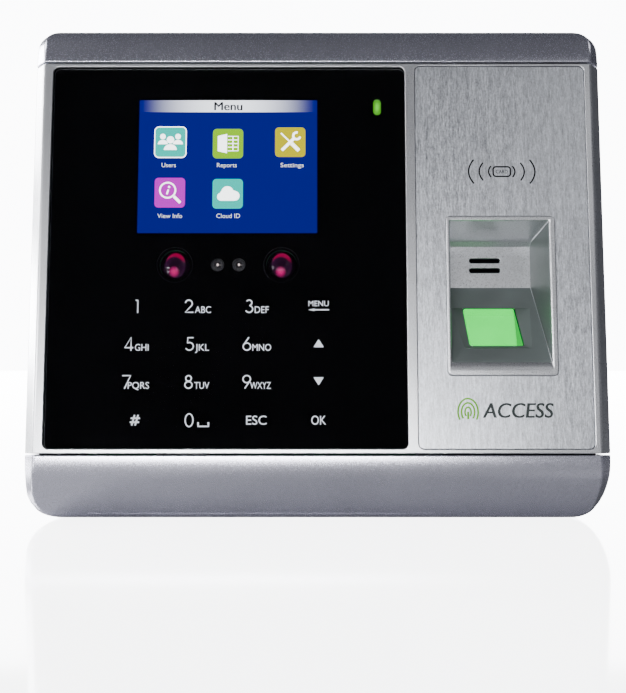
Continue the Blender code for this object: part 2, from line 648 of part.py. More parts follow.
def make_wall_plate():
    plate = slab("wall_plate", HANGER, 6.0, (-HANGER_THICKNESS, 0.0), "steel")
    low = HANGER[2]
    join(plate, "tab", block_mesh(-TAB[0], TAB[0], -TAB[1], -HANGER_THICKNESS / 2,
                                  low, low + HANGER_THICKNESS))
    cut(plate, "lock_hole", rod_mesh(1.8, low - 2.0, low + 4.0, 12, "Z"), None,
        (0.0, LOCK_SCREW_Y, 0.0))
    cut(plate, "cables", block_mesh(CABLE_HOLE[0], CABLE_HOLE[1], -4.0, 2.0,
                                    CABLE_HOLE[2], CABLE_HOLE[3]))
    x, z = PLUNGER_AT
    cut(plate, "plunger", block_mesh(x - 2.6, x + 2.6, -4.0, 2.0, z - 2.6, z + LIFT + 2.6))
    for side, sx in (("left", -1), ("right", 1)):
        for level, sz in (("bottom", -1), ("top", 1)):
            cut(plate, f"wall_screw_{side}_{level}", rod_mesh(2.3, -4.0, 2.0, 16), None,
                (sx * SCREW_HOLES[0], 0.0, sz * SCREW_HOLES[1]))
        for level, z in (("bottom", HOOK_ROWS[0]), ("top", HOOK_ROWS[1])):
            x0 = sx * HOOK_X - HOOK[0] / 2
            x1 = sx * HOOK_X + HOOK[0] / 2
            toe = BACK - BACK_WALL - GAP
            bend = ((z, -HANGER_THICKNESS / 2), (z, toe - HOOK[2]), (z + HOOK[1], toe - HOOK[2]),
                    (z + HOOK[1], toe), (z + HOOK[2], toe), (z + HOOK[2], -HANGER_THICKNESS / 2))
            join(plate, f"hook_{side}_{level}", prism_mesh(bend, x0, x1, "X"))


def make_movers(base):
    """Lock screw, tamper plunger and reset button, each with its origin on its own axis."""
    low = HANGER[2]
    head = low - GAP
    turned("lock_screw", ((2.9, head - 2.0), (3.2, head - 1.6), (3.2, head), (1.5, head),
                          (1.5, head + 11.0), (0.9, head + 12.0)),
           (0.0, LOCK_SCREW_Y, 0.0), "steel", axis="Z")
    wall = BACK - BACK_WALL
    x, z = PLUNGER_AT
    turned("tamper_plunger", ((2.0, wall - 1.8), (3.5, wall - 1.3), (3.5, wall - GAP),
                              (2.0, wall - GAP), (2.0, -0.4), (1.6, -0.1)),
           (x, 0.0, z), "black_plastic")
    x, y = RESET_AT
    turned("reset_button", ((1.5, base + 0.1), (1.5, base + WALL + GAP), (2.5, base + WALL + GAP),
                            (2.5, base + WALL + 1.1), (1.2, base + WALL + 1.1), (1.2, base + 4.9)),
           (x, y, 0.0), "black_plastic", axis="Z", segments=16)


def make_housing_screws():
    for x in (-POST_X, POST_X):
        for z in POST_Z:
            name = f"housing_screw_{'left' if x < 0 else 'right'}_{'top' if z > 0 else 'bottom'}"
            turned(name, ((0.7, BACK - 11.0), (SCREW_RADIUS, BACK - 10.0),
                          (SCREW_RADIUS, BACK - 1.1), (2.7, BACK - 1.1), (2.7, BACK - 0.4),
                          (2.2, BACK - 0.1)),
                   (x, 0.0, z), "steel", segments=16)


def main():
    clear_scene()
    face = make_empty("face_frame", FACE_ORIGIN, (-math.radians(LEAN_DEG), 0.0, 0.0))
    sensor = window_frame(face)
    make_front_housing(face)
    make_cap("top_cap", TOP_ARCS, TOP_CORNERS, (12,), 1, face)
    make_cap("bottom_cap", CHIN_ARCS, CHIN_CORNERS, (3, 3, 8), -1, face)
    make_panels(face)
    make_finger_well(face, sensor)
    make_sensor(sensor)
    make_speaker(face)
    make_display(face)
    make_keypad(face)
    make_indicators(face)
    make_rear_housing(face)
    base = rear_limits()[0]
    make_main_board(base)
    make_sockets(base)
    make_cables()
    make_wall_plate()
    make_movers(base)
    make_housing_screws()


main()
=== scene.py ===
"""Looks of the fingerprint scanner terminal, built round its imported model.

Shapes are drawn in millimetres, x to the right, y into the depth and z up.  FACE places what
lies in the leaning front, WORLD what lies square to the wall, and SENSOR what lies on the
sloping finger window.  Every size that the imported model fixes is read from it.
"""
import math
from collections import namedtuple

import bmesh
import bpy
import numpy as np
from bpy.props import FloatProperty, FloatVectorProperty, IntProperty, PointerProperty
from mathutils import Matrix, Vector


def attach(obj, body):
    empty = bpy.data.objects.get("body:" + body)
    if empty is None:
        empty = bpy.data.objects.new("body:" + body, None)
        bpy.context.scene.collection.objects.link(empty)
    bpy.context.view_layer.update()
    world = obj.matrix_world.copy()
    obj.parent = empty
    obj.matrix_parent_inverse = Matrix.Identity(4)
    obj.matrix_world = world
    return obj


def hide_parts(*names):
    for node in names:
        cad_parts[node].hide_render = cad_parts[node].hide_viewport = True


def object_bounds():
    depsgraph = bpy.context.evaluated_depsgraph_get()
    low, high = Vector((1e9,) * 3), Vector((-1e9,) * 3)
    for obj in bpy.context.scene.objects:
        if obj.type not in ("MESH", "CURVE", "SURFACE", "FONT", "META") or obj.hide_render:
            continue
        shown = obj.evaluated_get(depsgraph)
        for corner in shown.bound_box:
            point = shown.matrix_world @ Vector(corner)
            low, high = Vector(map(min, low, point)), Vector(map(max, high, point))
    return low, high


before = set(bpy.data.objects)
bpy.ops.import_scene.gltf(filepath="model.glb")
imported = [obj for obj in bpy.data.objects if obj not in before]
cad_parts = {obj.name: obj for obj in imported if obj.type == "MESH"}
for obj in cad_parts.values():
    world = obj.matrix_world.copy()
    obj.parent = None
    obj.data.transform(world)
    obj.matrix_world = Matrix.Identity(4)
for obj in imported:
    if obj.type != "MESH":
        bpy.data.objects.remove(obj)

bl_info = {
    "name": "Fingerprint Scanner Terminal",
    "version": (1, 0, 0),
    "blender": (4, 5, 0),
    "location": "View3D > Sidebar > Terminal",
    "description": "Builds the visible pieces of a wall terminal round its packed model",
    "category": "Object",
}

CAD_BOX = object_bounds()
MM = 0.001
GAP = 0.3
FAR = 200.0
FILLET_STEPS = 6

Box = namedtuple("Box", "x0 x1 y0 y1 z0 z1")


# ---------------------------------------------------------------- places, read from the frame

def broadest_normal(node, towards):
    """Normal of the largest flat triangle of a node that faces a direction."""
    faces = [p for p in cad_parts[node].data.polygons if p.normal.dot(towards) > 0.5]
    return max(faces, key=lambda face: face.area).normal.copy()


def measured(node, place):
    """The node's box along the axes of a place, in millimetres."""
    inverse = place.inverted()
    points = np.array([inverse @ v.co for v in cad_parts[node].data.vertices])
    low, high = points.min(0), points.max(0)
    return Box(low[0], high[0], low[1], high[1], low[2], high[2])


def leaning_place():
    """Origin on the front surface, midway between the seams; y runs square into the face."""
    normal = broadest_normal("glass_panel", Vector((0, -1, 0)))
    turn = Matrix.Rotation(-math.atan2(normal.z, -normal.y), 4, "X")
    box = measured("front_housing", turn @ Matrix.Scale(MM, 4))
    origin = Matrix.Translation((0, box.y0 * MM, (box.z0 + box.z1) / 2 * MM))
    return turn @ origin @ Matrix.Scale(MM, 4)


def sensor_place():
    """Origin on the middle of the finger window; z points out of it and y up its slope."""
    normal = broadest_normal("sensor_window", Vector((0, -0.7, 0.7)))
    turn = Matrix.Rotation(math.atan2(-normal.y, normal.z), 4, "X")
    box = measured("sensor_window", turn @ Matrix.Scale(MM, 4))
    middle = Vector(((box.x0 + box.x1) / 2, (box.y0 + box.y1) / 2, box.z1)) * MM
    return turn @ Matrix.Translation(middle) @ Matrix.Scale(MM, 4)


WORLD = Matrix.Scale(MM, 4)
FACE = leaning_place()
SENSOR = sensor_place()
LEAN = -FACE.to_euler().x


def face_box(node):
    return measured(node, FACE)


def rect(box, grow=0.0):
    """(x0, x1, z0, z1) of a box seen from the front, grown on every side."""
    return (box.x0 - grow, box.x1 + grow, box.z0 - grow, box.z1 + grow)


def middle(box):
    return ((box.x0 + box.x1) / 2, (box.z0 + box.z1) / 2)


SHELL = face_box("front_housing")
GLASS = face_box("glass_panel")
PLATE = face_box("brushed_plate")
WELL = face_box("finger_well")
CELL = face_box("display_cell")
STATUS = face_box("status_light_pipe")
HOLDER = face_box("infrared_holder")
EMITTER_LEFT = face_box("infrared_emitter_left")
KEYS = face_box("key_light_guide")
SCREW_NODES = tuple(f"housing_screw_{side}_{level}" for side in ("left", "right")
                    for level in ("bottom", "top"))
SCREWS = tuple(measured(node, WORLD) for node in SCREW_NODES)
REAR = measured("rear_housing", WORLD)
HANGER = measured("wall_plate", WORLD)
LOCK_SCREW = measured("lock_screw", WORLD)
PLUNGER = measured("tamper_plunger", WORLD)
RESET = measured("reset_button", WORLD)

# Outer form, shared by the frame and the caps that close it above and below.  CHAMFER is how
# far the side facet reaches in and back, an arc is its radius and sweep, a corner its width
# and height.
HALF_WIDTH = SHELL.x1
CHAMFER = (3.75, 4.0)
PARTING = 16.0
WALL = 2.2
CHAMFER_FADE = 0.32
TOP_ARCS = ((15.8, 84.6),)
CHIN_ARCS = ((20.0, 22.0), (63.0, 10.0), (6.0, 63.4))
TOP_CORNERS = ((9.0, 9.0), (10.0, 10.0))
CHIN_CORNERS = ((9.5, 9.5), (10.0, 17.0))
GLASS_CORNER = 1.8
PLATE_CORNER = 1.7
PANEL_GAP = 0.16
COVER_GROW = 0.06
PRINT_GROW = 0.04
PANEL_BACKING = 1.95
SCREW_POST = 3.5
SCREW_BORE = 1.6

# Layers behind the clear cover, as depths from the front surface
PRINT_DEPTHS = (GLASS.y1 + 0.09, GLASS.y1 + 0.15)
LEGEND_DEPTH = GLASS.y1 + 0.05
SCREEN_DEPTH = CELL.y0 - 0.04
ICON_DEPTH = CELL.y0 - 0.08
MARK_DEPTH = CELL.y0 - 0.12
PRINT_THICKNESS = 0.03
LAYER_STEP = 0.003

# Screen picture
SCREEN_SIZE = (57.6, 43.9)
SCREEN_DOTS = 320
SCREEN_RISE = 0.4
SCREEN_SHIFT = -0.43
SCREEN_CENTRE = (middle(CELL)[0] + SCREEN_SHIFT, middle(CELL)[1] + SCREEN_RISE)
ICON_SIZE = 9.8
TITLE_HEIGHT = 3.95

# Keypad
KEY_COLUMNS = (-57.2, -38.0, -19.2, 0.3)
KEY_ROWS = (-16.3, -28.3, -40.3, -52.1)
DIGIT_HEIGHT = 4.35
LETTER_HEIGHT = 2.1
WORD_HEIGHT = 2.75
# Digit, letters, width of the letters and the gap before them
DIGIT_KEYS = (
    ("1", "", 0.0, 0.0), ("2", "ABC", 5.1, 0.4), ("3", "DEF", 4.4, 0.45),
    ("4", "GHI", 4.3, 0.45), ("5", "JKL", 4.4, 0.3), ("6", "MNO", 5.9, 0.35),
    ("7", "PQRS", 6.7, -0.9), ("8", "TUV", 4.7, 0.4), ("9", "WXYZ", 6.5, -0.3),
)

# Height of the capitals as a share of the font's size
CAP_SHARE = 0.68


# ---------------------------------------------------------------- sizes and colours to change

def length(name, description, millimetres):
    return FloatProperty(name=name, description=description, default=millimetres * MM,
                         min=0.0, unit="LENGTH", precision=5)


def colour(name, description, value):
    return FloatVectorProperty(name=name, description=description, default=value,
                               size=3, min=0.0, max=8.0, subtype="COLOR")


class TerminalSizes(bpy.types.PropertyGroup):
    """Sizes of the small shapes that finish the terminal."""
    seam_fillet: length("Seam fillet", "Round on the edges beside both seams", 0.35)
    ridge_fillet: length("Ridge fillet", "Round where the side facets meet the face", 0.9)
    rim_fillet: length("Rim fillet", "Round on the rim of the two panel recesses", 0.2)
    glass_fillet: length("Glass fillet", "Round on the front edge of the cover glass", 0.12)
    well_fillet: length("Well fillet", "Round on the rim of the finger well", 0.55)
    well_lip: length("Well lip", "Radius of the roll over the well's lower edge", 6.0)
    stroke: length("Legend stroke", "Line width of the digits on the keypad", 0.44)
    mark_line: length("Card mark line", "Line width of the card mark on the plate", 0.55)
    rear_fillet: length("Rear fillet", "Round on the back edges of the rear housing", 1.4)
    contacts: IntProperty(name="Network contacts", description="Springs in the network jack",
                          default=8, min=2, max=10)
    terminals: IntProperty(name="Wiring terminals", description="Ways in each wiring header",
                           default=8, min=2, max=12)


class TerminalColours(bpy.types.PropertyGroup):
    """Finishes and lights of the terminal."""
    silver: colour("Silver paint", "Pearl silver of the frame and the well", (0.56, 0.57, 0.60))
    # The cap silver is darker and more violet than the frame's: painted shade and a painted violet
    # tint of the light on the top cap
    cap: colour("Cap paint", "Silver of the top cap and the chin", (0.50, 0.50, 0.585))
    brushed: colour("Brushed plate", "Metal of the right-hand plate", (0.555, 0.575, 0.62))
    print_black: colour("Print", "Black layer behind the glass", (0.0012, 0.0011, 0.0016))
    legend: colour("Legends", "Lit keypad legends", (1.25, 1.32, 1.45))
    screen: colour("Screen", "Background of the display", (0.0002, 0.002, 0.29))
    window: colour("Finger window", "Light of the finger window", (0.0, 1.65, 0.14))
    status: colour("Status light", "Light of the status slot", (0.16, 0.85, 0.03))
    infrared: colour("Infrared", "Glow of the infrared emitters", (0.72, 0.0, 0.19))
    rear: colour("Rear plastic", "Moulded plastic of the rear housing", (0.022, 0.023, 0.026))
    floor: colour("Floor", "Plain floor", (0.55, 0.55, 0.56))


def sizes():
    return bpy.context.scene.terminal_sizes


def colours():
    return bpy.context.scene.terminal_colours


def mm(value):
    return value / MM


# ---------------------------------------------------------------- outlines

def arc(centre, radius, start, end, steps):
    """Points along an arc; radius is one number or an (x, z) pair, angles are in degrees."""
    across, up = radius if isinstance(radius, tuple) else (radius, radius)
    points = []
    for step in range(steps + 1):
        angle = math.radians(start + (end - start) * step / steps)
        points.append((centre[0] + across * math.cos(angle), centre[1] + up * math.sin(angle)))
    return points


def rounded(sides, radius, steps=FILLET_STEPS):
    """A rectangle (x0, x1, z0, z1) with round corners, anticlockwise from its upper right."""
    x0, x1, z0, z1 = sides
    radius = max(radius, 0.02)
    points = []
    for x, z, turn in ((x1 - radius, z1 - radius, 0), (x0 + radius, z1 - radius, 90),
                       (x0 + radius, z0 + radius, 180), (x1 - radius, z0 + radius, 270)):
        points += arc((x, z), radius, turn, turn + 90, steps)
    return points


def around(centre, width, height):
    x, z = centre
    return (x - width / 2, x + width / 2, z - height / 2, z + height / 2)


def quarter(radius, steps=FILLET_STEPS):
    """(inset, depth) pairs round a fillet, from the face over to the side."""
    if radius <= 0:
        return [(0.0, 0.0)]
    angles = [math.pi / 2 * step / steps for step in range(steps + 1)]
    return [(radius * (1 - math.sin(a)), radius * (1 - math.cos(a))) for a in angles]


def eased(points, radius, steps=4):
    """An open line of (x, y) pairs with its inner corners rounded."""
    result = [Vector(points[0])]
    for before, corner, after in zip(points, points[1:], points[2:]):
        corner, back, ahead = Vector(corner), Vector(before), Vector(after)
        to_back, to_ahead = (back - corner), (ahead - corner)
        reach = min(radius, to_back.length * 0.45, to_ahead.length * 0.45)
        first = corner + to_back.normalized() * reach
        last = corner + to_ahead.normalized() * reach
        for step in range(steps + 1):
            t = step / steps
            result.append(first * (1 - t) ** 2 + corner * 2 * t * (1 - t) + last * t ** 2)
    result.append(Vector(points[-1]))
    return result


def shifted(points, amount):
    """An open line of (x, y) pairs moved sideways, to its right as it runs."""
    moved = []
    for index, point in enumerate(points):
        before = points[max(index - 1, 0)]
        after = points[min(index + 1, len(points) - 1)]
        along = (after - before).normalized()
        moved.append(point + Vector((along.y, -along.x)) * amount)
    return moved


# ---------------------------------------------------------------- meshes

def loft(loops, capped=True):
    """Skin a row of closed loops that have the same number of points."""
    bm = bmesh.new()
    rows = [[bm.verts.new(point) for point in loop] for loop in loops]
    for low, high in zip(rows, rows[1:]):
        for index in range(len(low)):
            after = (index + 1) % len(low)
            bm.faces.new((low[index], low[after], high[after], high[index]))
    if capped:
        bm.faces.new(rows[0])
        bm.faces.new(rows[-1])
    bmesh.ops.recalc_face_normals(bm, faces=bm.faces)
    return bm


def slab(sides, corner, depths, front=0.0, back=0.0, steps=FILLET_STEPS):
    """A plate with round corners and, where asked, filleted front and back edges."""
    x0, x1, z0, z1 = sides
    loops = []
    rows = [(inset, depths[0] + depth) for inset, depth in quarter(front)]
    rows += [(inset, depths[1] - depth) for inset, depth in reversed(quarter(back))]
    for inset, y in rows:
        inner = (x0 + inset, x1 - inset, z0 + inset, z1 - inset)
        loops.append([(x, y, z) for x, z in rounded(inner, corner - inset, steps)])
    return loft(loops)


def flared(sides, corner, depth, flare, surface=0.0, steps=FILLET_STEPS):
    """A cutter for a recess whose rim is rounded over where it meets the surface."""
    x0, x1, z0, z1 = sides
    loops = []
    rows = [(flare + 1.0, surface - 2.0)]
    rows += [(inset, surface + below) for inset, below in quarter(flare)]
    rows += [(0.0, depth)]
    for grow, y in rows:
        outer = (x0 - grow, x1 + grow, z0 - grow, z1 + grow)
        loops.append([(x, y, z) for x, z in rounded(outer, corner + grow, steps)])
    return loft(loops)


def prism(outline, start, end):
    """An outline of (x, z) pairs drawn out along the depth."""
    return loft([[(x, y, z) for x, z in outline] for y in (start, end)])


def side_prism(outline, start, end):
    """An outline of (z, y) pairs drawn out to the right."""
    return loft([[(x, y, z) for z, y in outline] for x in (start, end)])


def block(x, y, z):
    return prism(((x[0], z[0]), (x[1], z[0]), (x[1], z[1]), (x[0], z[1])), *y)


def turned(profile, centre, segments=40, axis="Y"):
    """Rings of (radius, place along the axis) about an axis through centre."""
    loops = []
    for radius, along in profile:
        ring = []
        for step in range(segments):
            angle = 2 * math.pi * step / segments
            a, b = radius * math.cos(angle), radius * math.sin(angle)
            if axis == "Y":
                ring.append((centre[0] + a, along, centre[1] + b))
            else:
                ring.append((centre[0] + a, centre[1] + b, along))
        loops.append(ring)
    return loft(loops)


def turned_ring(profile, centre, segments=64):
    """A ring turned about the depth axis; its profile closes on itself, so it has no caps."""
    bm = turned(profile + profile[:1], centre, segments)
    caps = [face for face in bm.faces if len(face.verts) > 4]
    bmesh.ops.delete(bm, geom=caps, context="FACES_ONLY")
    bmesh.ops.remove_doubles(bm, verts=bm.verts, dist=1e-4)
    bmesh.ops.recalc_face_normals(bm, faces=bm.faces)
    return bm


def shell_between(outer, inner):
    """A wall between two grids of points with the same rows and columns."""
    bm = bmesh.new()
    grids = [[[bm.verts.new(point) for point in row] for row in grid] for grid in (outer, inner)]
    rims = []
    for grid in grids:
        for low, high in zip(grid, grid[1:]):
            for index in range(len(low) - 1):
                bm.faces.new((low[index], low[index + 1], high[index + 1], high[index]))
        rims.append(grid[0] + [row[-1] for row in grid[1:]] + grid[-1][-2::-1]
                    + [row[0] for row in grid[-2:0:-1]])
    first, second = rims
    for index in range(len(first)):
        after = (index + 1) % len(first)
        bm.faces.new((first[index], first[after], second[after], second[index]))
    bmesh.ops.remove_doubles(bm, verts=bm.verts, dist=1e-4)
    bmesh.ops.recalc_face_normals(bm, faces=bm.faces)
    return bm


def merged(parts):
    """Several bmeshes as one."""
    whole = bmesh.new()
    for part in parts:
        spare = bpy.data.meshes.new("spare")
        part.to_mesh(spare)
        part.free()
        whole.from_mesh(spare)
        bpy.data.meshes.remove(spare)
    return whole


def moved(bm, matrix):
    bmesh.ops.transform(bm, matrix=matrix, verts=bm.verts)
    return bm


def raw_object(name, bm):
    mesh = bpy.data.meshes.new(name)
    bm.to_mesh(mesh)
    bm.free()
    obj = bpy.data.objects.new(name, mesh)
    bpy.context.scene.collection.objects.link(obj)
    return obj


def discard(obj):
    mesh = obj.data
    bpy.data.objects.remove(obj)
    bpy.data.meshes.remove(mesh)


def evaluated(obj):
    """The object's mesh with its modifiers applied; the modifiers are then removed."""
    graph = bpy.context.evaluated_depsgraph_get()
    mesh = bpy.data.meshes.new_from_object(obj.evaluated_get(graph))
    old = obj.data
    obj.modifiers.clear()
    obj.data = mesh
    if isinstance(old, bpy.types.Mesh):
        bpy.data.meshes.remove(old)
    return obj


def carve(obj, cuts=(), joins=()):
    """Boolean unions and then differences with bmeshes drawn in the object's millimetres."""
    tools = []
    for operation, parts in (("UNION", joins), ("DIFFERENCE", cuts)):
        for part in parts:
            tool = raw_object("tool", part)
            tools.append(tool)
            modifier = obj.modifiers.new("carve", "BOOLEAN")
            modifier.operation = operation
            modifier.solver = "EXACT"
            modifier.object = tool
    evaluated(obj)
    for tool in tools:
        discard(tool)
    return obj


def finish(obj, place, material, sharp=30.0, weighted=True):
    """Put a piece drawn in millimetres in its place and give it its finish."""
    mesh = obj.data
    mesh.transform(place)
    mesh.materials.clear()
    mesh.materials.append(material)
    mesh.polygons.foreach_set("material_index", [0] * len(mesh.polygons))
    mesh.shade_smooth()
    mesh.set_sharp_from_angle(angle=math.radians(sharp))
    if weighted:
        modifier = obj.modifiers.new("normals", "WEIGHTED_NORMAL")
        modifier.keep_sharp = True
        evaluated(obj)
    return obj


def settle(obj, place, material, body="terminal", replaces=(), sharp=30.0,
           weighted=True):
    """Finish an object, and let it ride on its body in the place of the nodes it replaces."""
    finish(obj, place, material, sharp, weighted)
    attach(obj, body)
    if replaces:
        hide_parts(*replaces)


def piece(name, bm, place, material, body="terminal", replaces=(), sharp=30.0,
          weighted=True, cuts=(), joins=()):
    """One piece of the object, from its drawn shape to its place on its body."""
    obj = raw_object(name, bm)
    if cuts or joins:
        carve(obj, cuts, joins)
    settle(obj, place, material, body, replaces, sharp, weighted)


def dress(node, material):
    """Give a carried-over node a procedural finish."""
    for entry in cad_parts[node].material_slots:
        entry.material = material


# ---------------------------------------------------------------- lines, letters and digits

def drawn(curve, merge):
    """The mesh that a curve or a text makes, its doubles merged; the curve is then removed."""
    obj = bpy.data.objects.new("drawn", curve)
    bpy.context.scene.collection.objects.link(obj)
    graph = bpy.context.evaluated_depsgraph_get()
    mesh = bpy.data.meshes.new_from_object(obj.evaluated_get(graph))
    bm = bmesh.new()
    bm.from_mesh(mesh)
    bmesh.ops.remove_doubles(bm, verts=bm.verts, dist=merge)
    bpy.data.objects.remove(obj)
    bpy.data.curves.remove(curve)
    bpy.data.meshes.remove(mesh)
    return bm


def strokes(lines, width, depth=PRINT_THICKNESS):
    """Flat lines of one width through lists of (x, z) pairs; a (points, True) entry closes."""
    curve = bpy.data.curves.new("strokes", "CURVE")
    curve.dimensions = "3D"
    curve.bevel_depth = width / 2
    curve.bevel_resolution = 1
    curve.use_fill_caps = True
    for points, closed in lines:
        spline = curve.splines.new("POLY")
        spline.points.add(len(points) - 1)
        for target, (x, z) in zip(spline.points, points):
            target.co = (x, 0.0, z, 1.0)
        spline.use_cyclic_u = closed
    bm = drawn(curve, width * 0.01)
    bmesh.ops.scale(bm, vec=(1.0, depth / width, 1.0), verts=bm.verts)
    bmesh.ops.recalc_face_normals(bm, faces=bm.faces)
    return bm


def letters(text, height, centre, width, shear=0.0, depth=PRINT_THICKNESS):
    """Flat lettering with its capitals' height and its whole width; middle at centre."""
    curve = bpy.data.curves.new("letters", "FONT")
    curve.body = text
    curve.size = height / CAP_SHARE
    curve.shear = shear
    curve.resolution_u = 4
    curve.extrude = depth / 2
    bm = drawn(curve, 1e-4)
    across = [v.co.x for v in bm.verts]
    left, right = min(across), max(across)
    stretch = width / (right - left)
    for vert in bm.verts:
        x = (vert.co.x - (left + right) / 2) * stretch
        vert.co = Vector((centre[0] + x, vert.co.z, centre[1] + vert.co.y - height / 2))
    bmesh.ops.recalc_face_normals(bm, faces=bm.faces)
    return bm


def thickened(text, height, centre, width, extra, shear=0.0, depth=PRINT_THICKNESS):
    """Lettering whose strokes are made heavier by laying it down again beside itself."""
    copies = []
    for step in (-0.5, 0.0, 0.5):
        place = (centre[0] + extra * step, centre[1])
        copy = letters(text, height, place, width - extra, shear, depth)
        bmesh.ops.translate(copy, vec=(0.0, LAYER_STEP * step, 0.0), verts=copy.verts)
        copies.append(copy)
    return merged(copies)


def digit_lines(digit):
    """Centre lines of a digit one unit high, its left edge at x = 0, and its width."""
    if digit == "0":
        return [(arc((0.32, 0.5), (0.28, 0.46), 0, 345, 23), True)], 0.66
    if digit == "1":
        return [([(0.0, 0.93), (0.17, 0.93), (0.17, 0.0)], False)], 0.24
    if digit == "2":
        bend = arc((0.32, 0.69), (0.25, 0.26), 170, -35, 14)
        return [(bend + [(0.07, 0.05), (0.66, 0.05)], False)], 0.68
    if digit == "3":
        upper = arc((0.27, 0.75), (0.20, 0.20), 150, -75, 12)
        lower = arc((0.27, 0.29), (0.26, 0.25), 75, -155, 14)
        return [(upper + lower, False)], 0.58
    if digit == "4":
        return [([(0.50, 0.0), (0.50, 0.97), (0.05, 0.22), (0.66, 0.22)], False)], 0.68
    if digit == "5":
        bowl = arc((0.29, 0.32), (0.29, 0.28), 120, -150, 16)
        return [([(0.58, 0.95), (0.18, 0.95)] + bowl, False)], 0.64
    if digit in "69":
        ring = arc((0.32, 0.30), (0.27, 0.26), 150, 510, 24)
        lines = [([(0.46, 0.98)] + ring, False)]
        if digit == "9":
            lines = [([(0.64 - x, 1.0 - z) for x, z in lines[0][0]], False)]
        return lines, 0.64
    if digit == "7":
        return [([(0.0, 0.95), (0.60, 0.95), (0.17, 0.0)], False)], 0.62
    return [(arc((0.31, 0.75), (0.20, 0.20), 0, 345, 23), True),
            (arc((0.31, 0.28), (0.26, 0.24), 0, 345, 23), True)], 0.64


# ---------------------------------------------------------------- materials

def add_node(tree, kind, inputs=(), **settings):
    """A new node with its settings, each input linked to a socket or given a value."""
    node = tree.nodes.new(kind)
    for key, value in settings.items():
        setattr(node, key, value)
    for socket, value in dict(inputs).items():
        if isinstance(value, bpy.types.NodeSocket):
            tree.links.new(value, node.inputs[socket])
        else:
            node.inputs[socket].default_value = value
    return node


class Recipe:
    """A material being put together: its shader and short ways to add to it."""

    def __init__(self, name, base, roughness, metallic=0.0):
        self.material = bpy.data.materials.new(name)
        self.material.use_nodes = True
        self.tree = self.material.node_tree
        self.shader = self.tree.nodes["Principled BSDF"]
        self.set("Base Color", (*base, 1.0))
        self.set("Roughness", roughness)
        self.set("Metallic", metallic)

    def set(self, socket, value):
        self.shader.inputs[socket].default_value = value

    def feed(self, socket, output):
        self.tree.links.new(output, self.shader.inputs[socket])

    def node(self, kind, inputs=(), **settings):
        return add_node(self.tree, "ShaderNode" + kind, inputs, **settings)

    def along(self, place, size):
        """Object coordinates along a place's axes, counted in sizes given in millimetres."""
        coordinates = self.node("TexCoord").outputs["Object"]
        turn = place.to_euler()
        values = {"Vector": coordinates, "Location": place.translation, "Rotation": turn,
                  "Scale": [step * MM for step in size]}
        return self.node("Mapping", values, vector_type="TEXTURE").outputs["Vector"]

    def noise(self, vector, detail=2.0, roughness=0.5):
        values = {"Vector": vector, "Scale": 1.0, "Detail": detail, "Roughness": roughness}
        return self.node("TexNoise", values).outputs["Fac"]

    def spread(self, value, start, end, low=0.0, high=1.0, smooth=False):
        values = {"Value": value, "From Min": start, "From Max": end, "To Min": low, "To Max": high}
        kind = "SMOOTHSTEP" if smooth else "LINEAR"
        return self.node("MapRange", values, interpolation_type=kind).outputs["Result"]

    def maths(self, operation, first, second=0.0):
        return self.node("Math", {0: first, 1: second}, operation=operation).outputs[0]

    def distance(self, vector):
        return self.node("VectorMath", {0: vector}, operation="LENGTH").outputs["Value"]

    def tint(self, factor, dark, light):
        node = self.node("Mix", {"Factor": factor}, data_type="RGBA")
        for socket, value in ((node.inputs[6], dark), (node.inputs[7], light)):
            if isinstance(value, bpy.types.NodeSocket):
                self.tree.links.new(value, socket)
            else:
                socket.default_value = (*value, 1.0)
        return node.outputs[2]

    def bump(self, height, strength, depth):
        values = {"Height": height, "Strength": strength, "Distance": depth * MM}
        self.feed("Normal", self.node("Bump", values).outputs["Normal"])

    def shine(self, colour_output, strength=1.0):
        self.feed("Emission Color", colour_output)
        self.set("Emission Strength", strength)


def scaled(value, factor):
    return tuple(component * factor for component in value)


def silver_paint(name, base, roughness=0.30, sparkle=0.22):
    """Pearl paint: fine flakes, a faint orange peel and slow changes of tone."""
    recipe = Recipe(name, base, roughness, 0.90)
    flakes = recipe.noise(recipe.along(FACE, (0.34, 0.34, 0.34)), 3.0, 0.7)
    clouds = recipe.noise(recipe.along(FACE, (26.0, 26.0, 26.0)), 1.0)
    mixed = recipe.maths("ADD", recipe.maths("MULTIPLY", flakes, 0.75),
                         recipe.maths("MULTIPLY", clouds, 0.25))
    shade = recipe.spread(mixed, 0.36, 0.64)
    recipe.feed("Base Color", recipe.tint(shade, scaled(base, 1 - sparkle),
                                          scaled(base, 1 + sparkle)))
    recipe.feed("Roughness", recipe.spread(flakes, 0.3, 0.7, roughness - 0.04, roughness + 0.06))
    recipe.set("Coat Weight", 0.12)
    recipe.set("Coat Roughness", 0.12)
    recipe.bump(flakes, sparkle * 0.45, 0.05)
    return recipe.material


def brushed_metal(base):
    """Upright brushing: hair-fine lines, longer streaks and specks of light."""
    recipe = Recipe("brushed_metal", base, 0.36, 0.92)
    hairs = recipe.noise(recipe.along(FACE, (0.36, 1.0, 2.2)), 3.0, 0.7)
    streaks = recipe.noise(recipe.along(FACE, (0.9, 1.0, 14.0)), 2.0)
    specks = recipe.noise(recipe.along(FACE, (0.32, 1.0, 0.5)), 2.0, 0.7)
    mixed = recipe.maths("ADD", recipe.maths("MULTIPLY", hairs, 0.5),
                         recipe.maths("MULTIPLY", streaks, 0.2))
    mixed = recipe.maths("ADD", mixed, recipe.maths("MULTIPLY", specks, 0.3))
    shade = recipe.spread(mixed, 0.36, 0.64)
    recipe.feed("Base Color", recipe.tint(shade, scaled(base, 0.60), scaled(base, 1.40)))
    recipe.feed("Roughness", recipe.spread(hairs, 0.25, 0.75, 0.28, 0.46))
    recipe.bump(mixed, 0.22, 0.05)
    return recipe.material


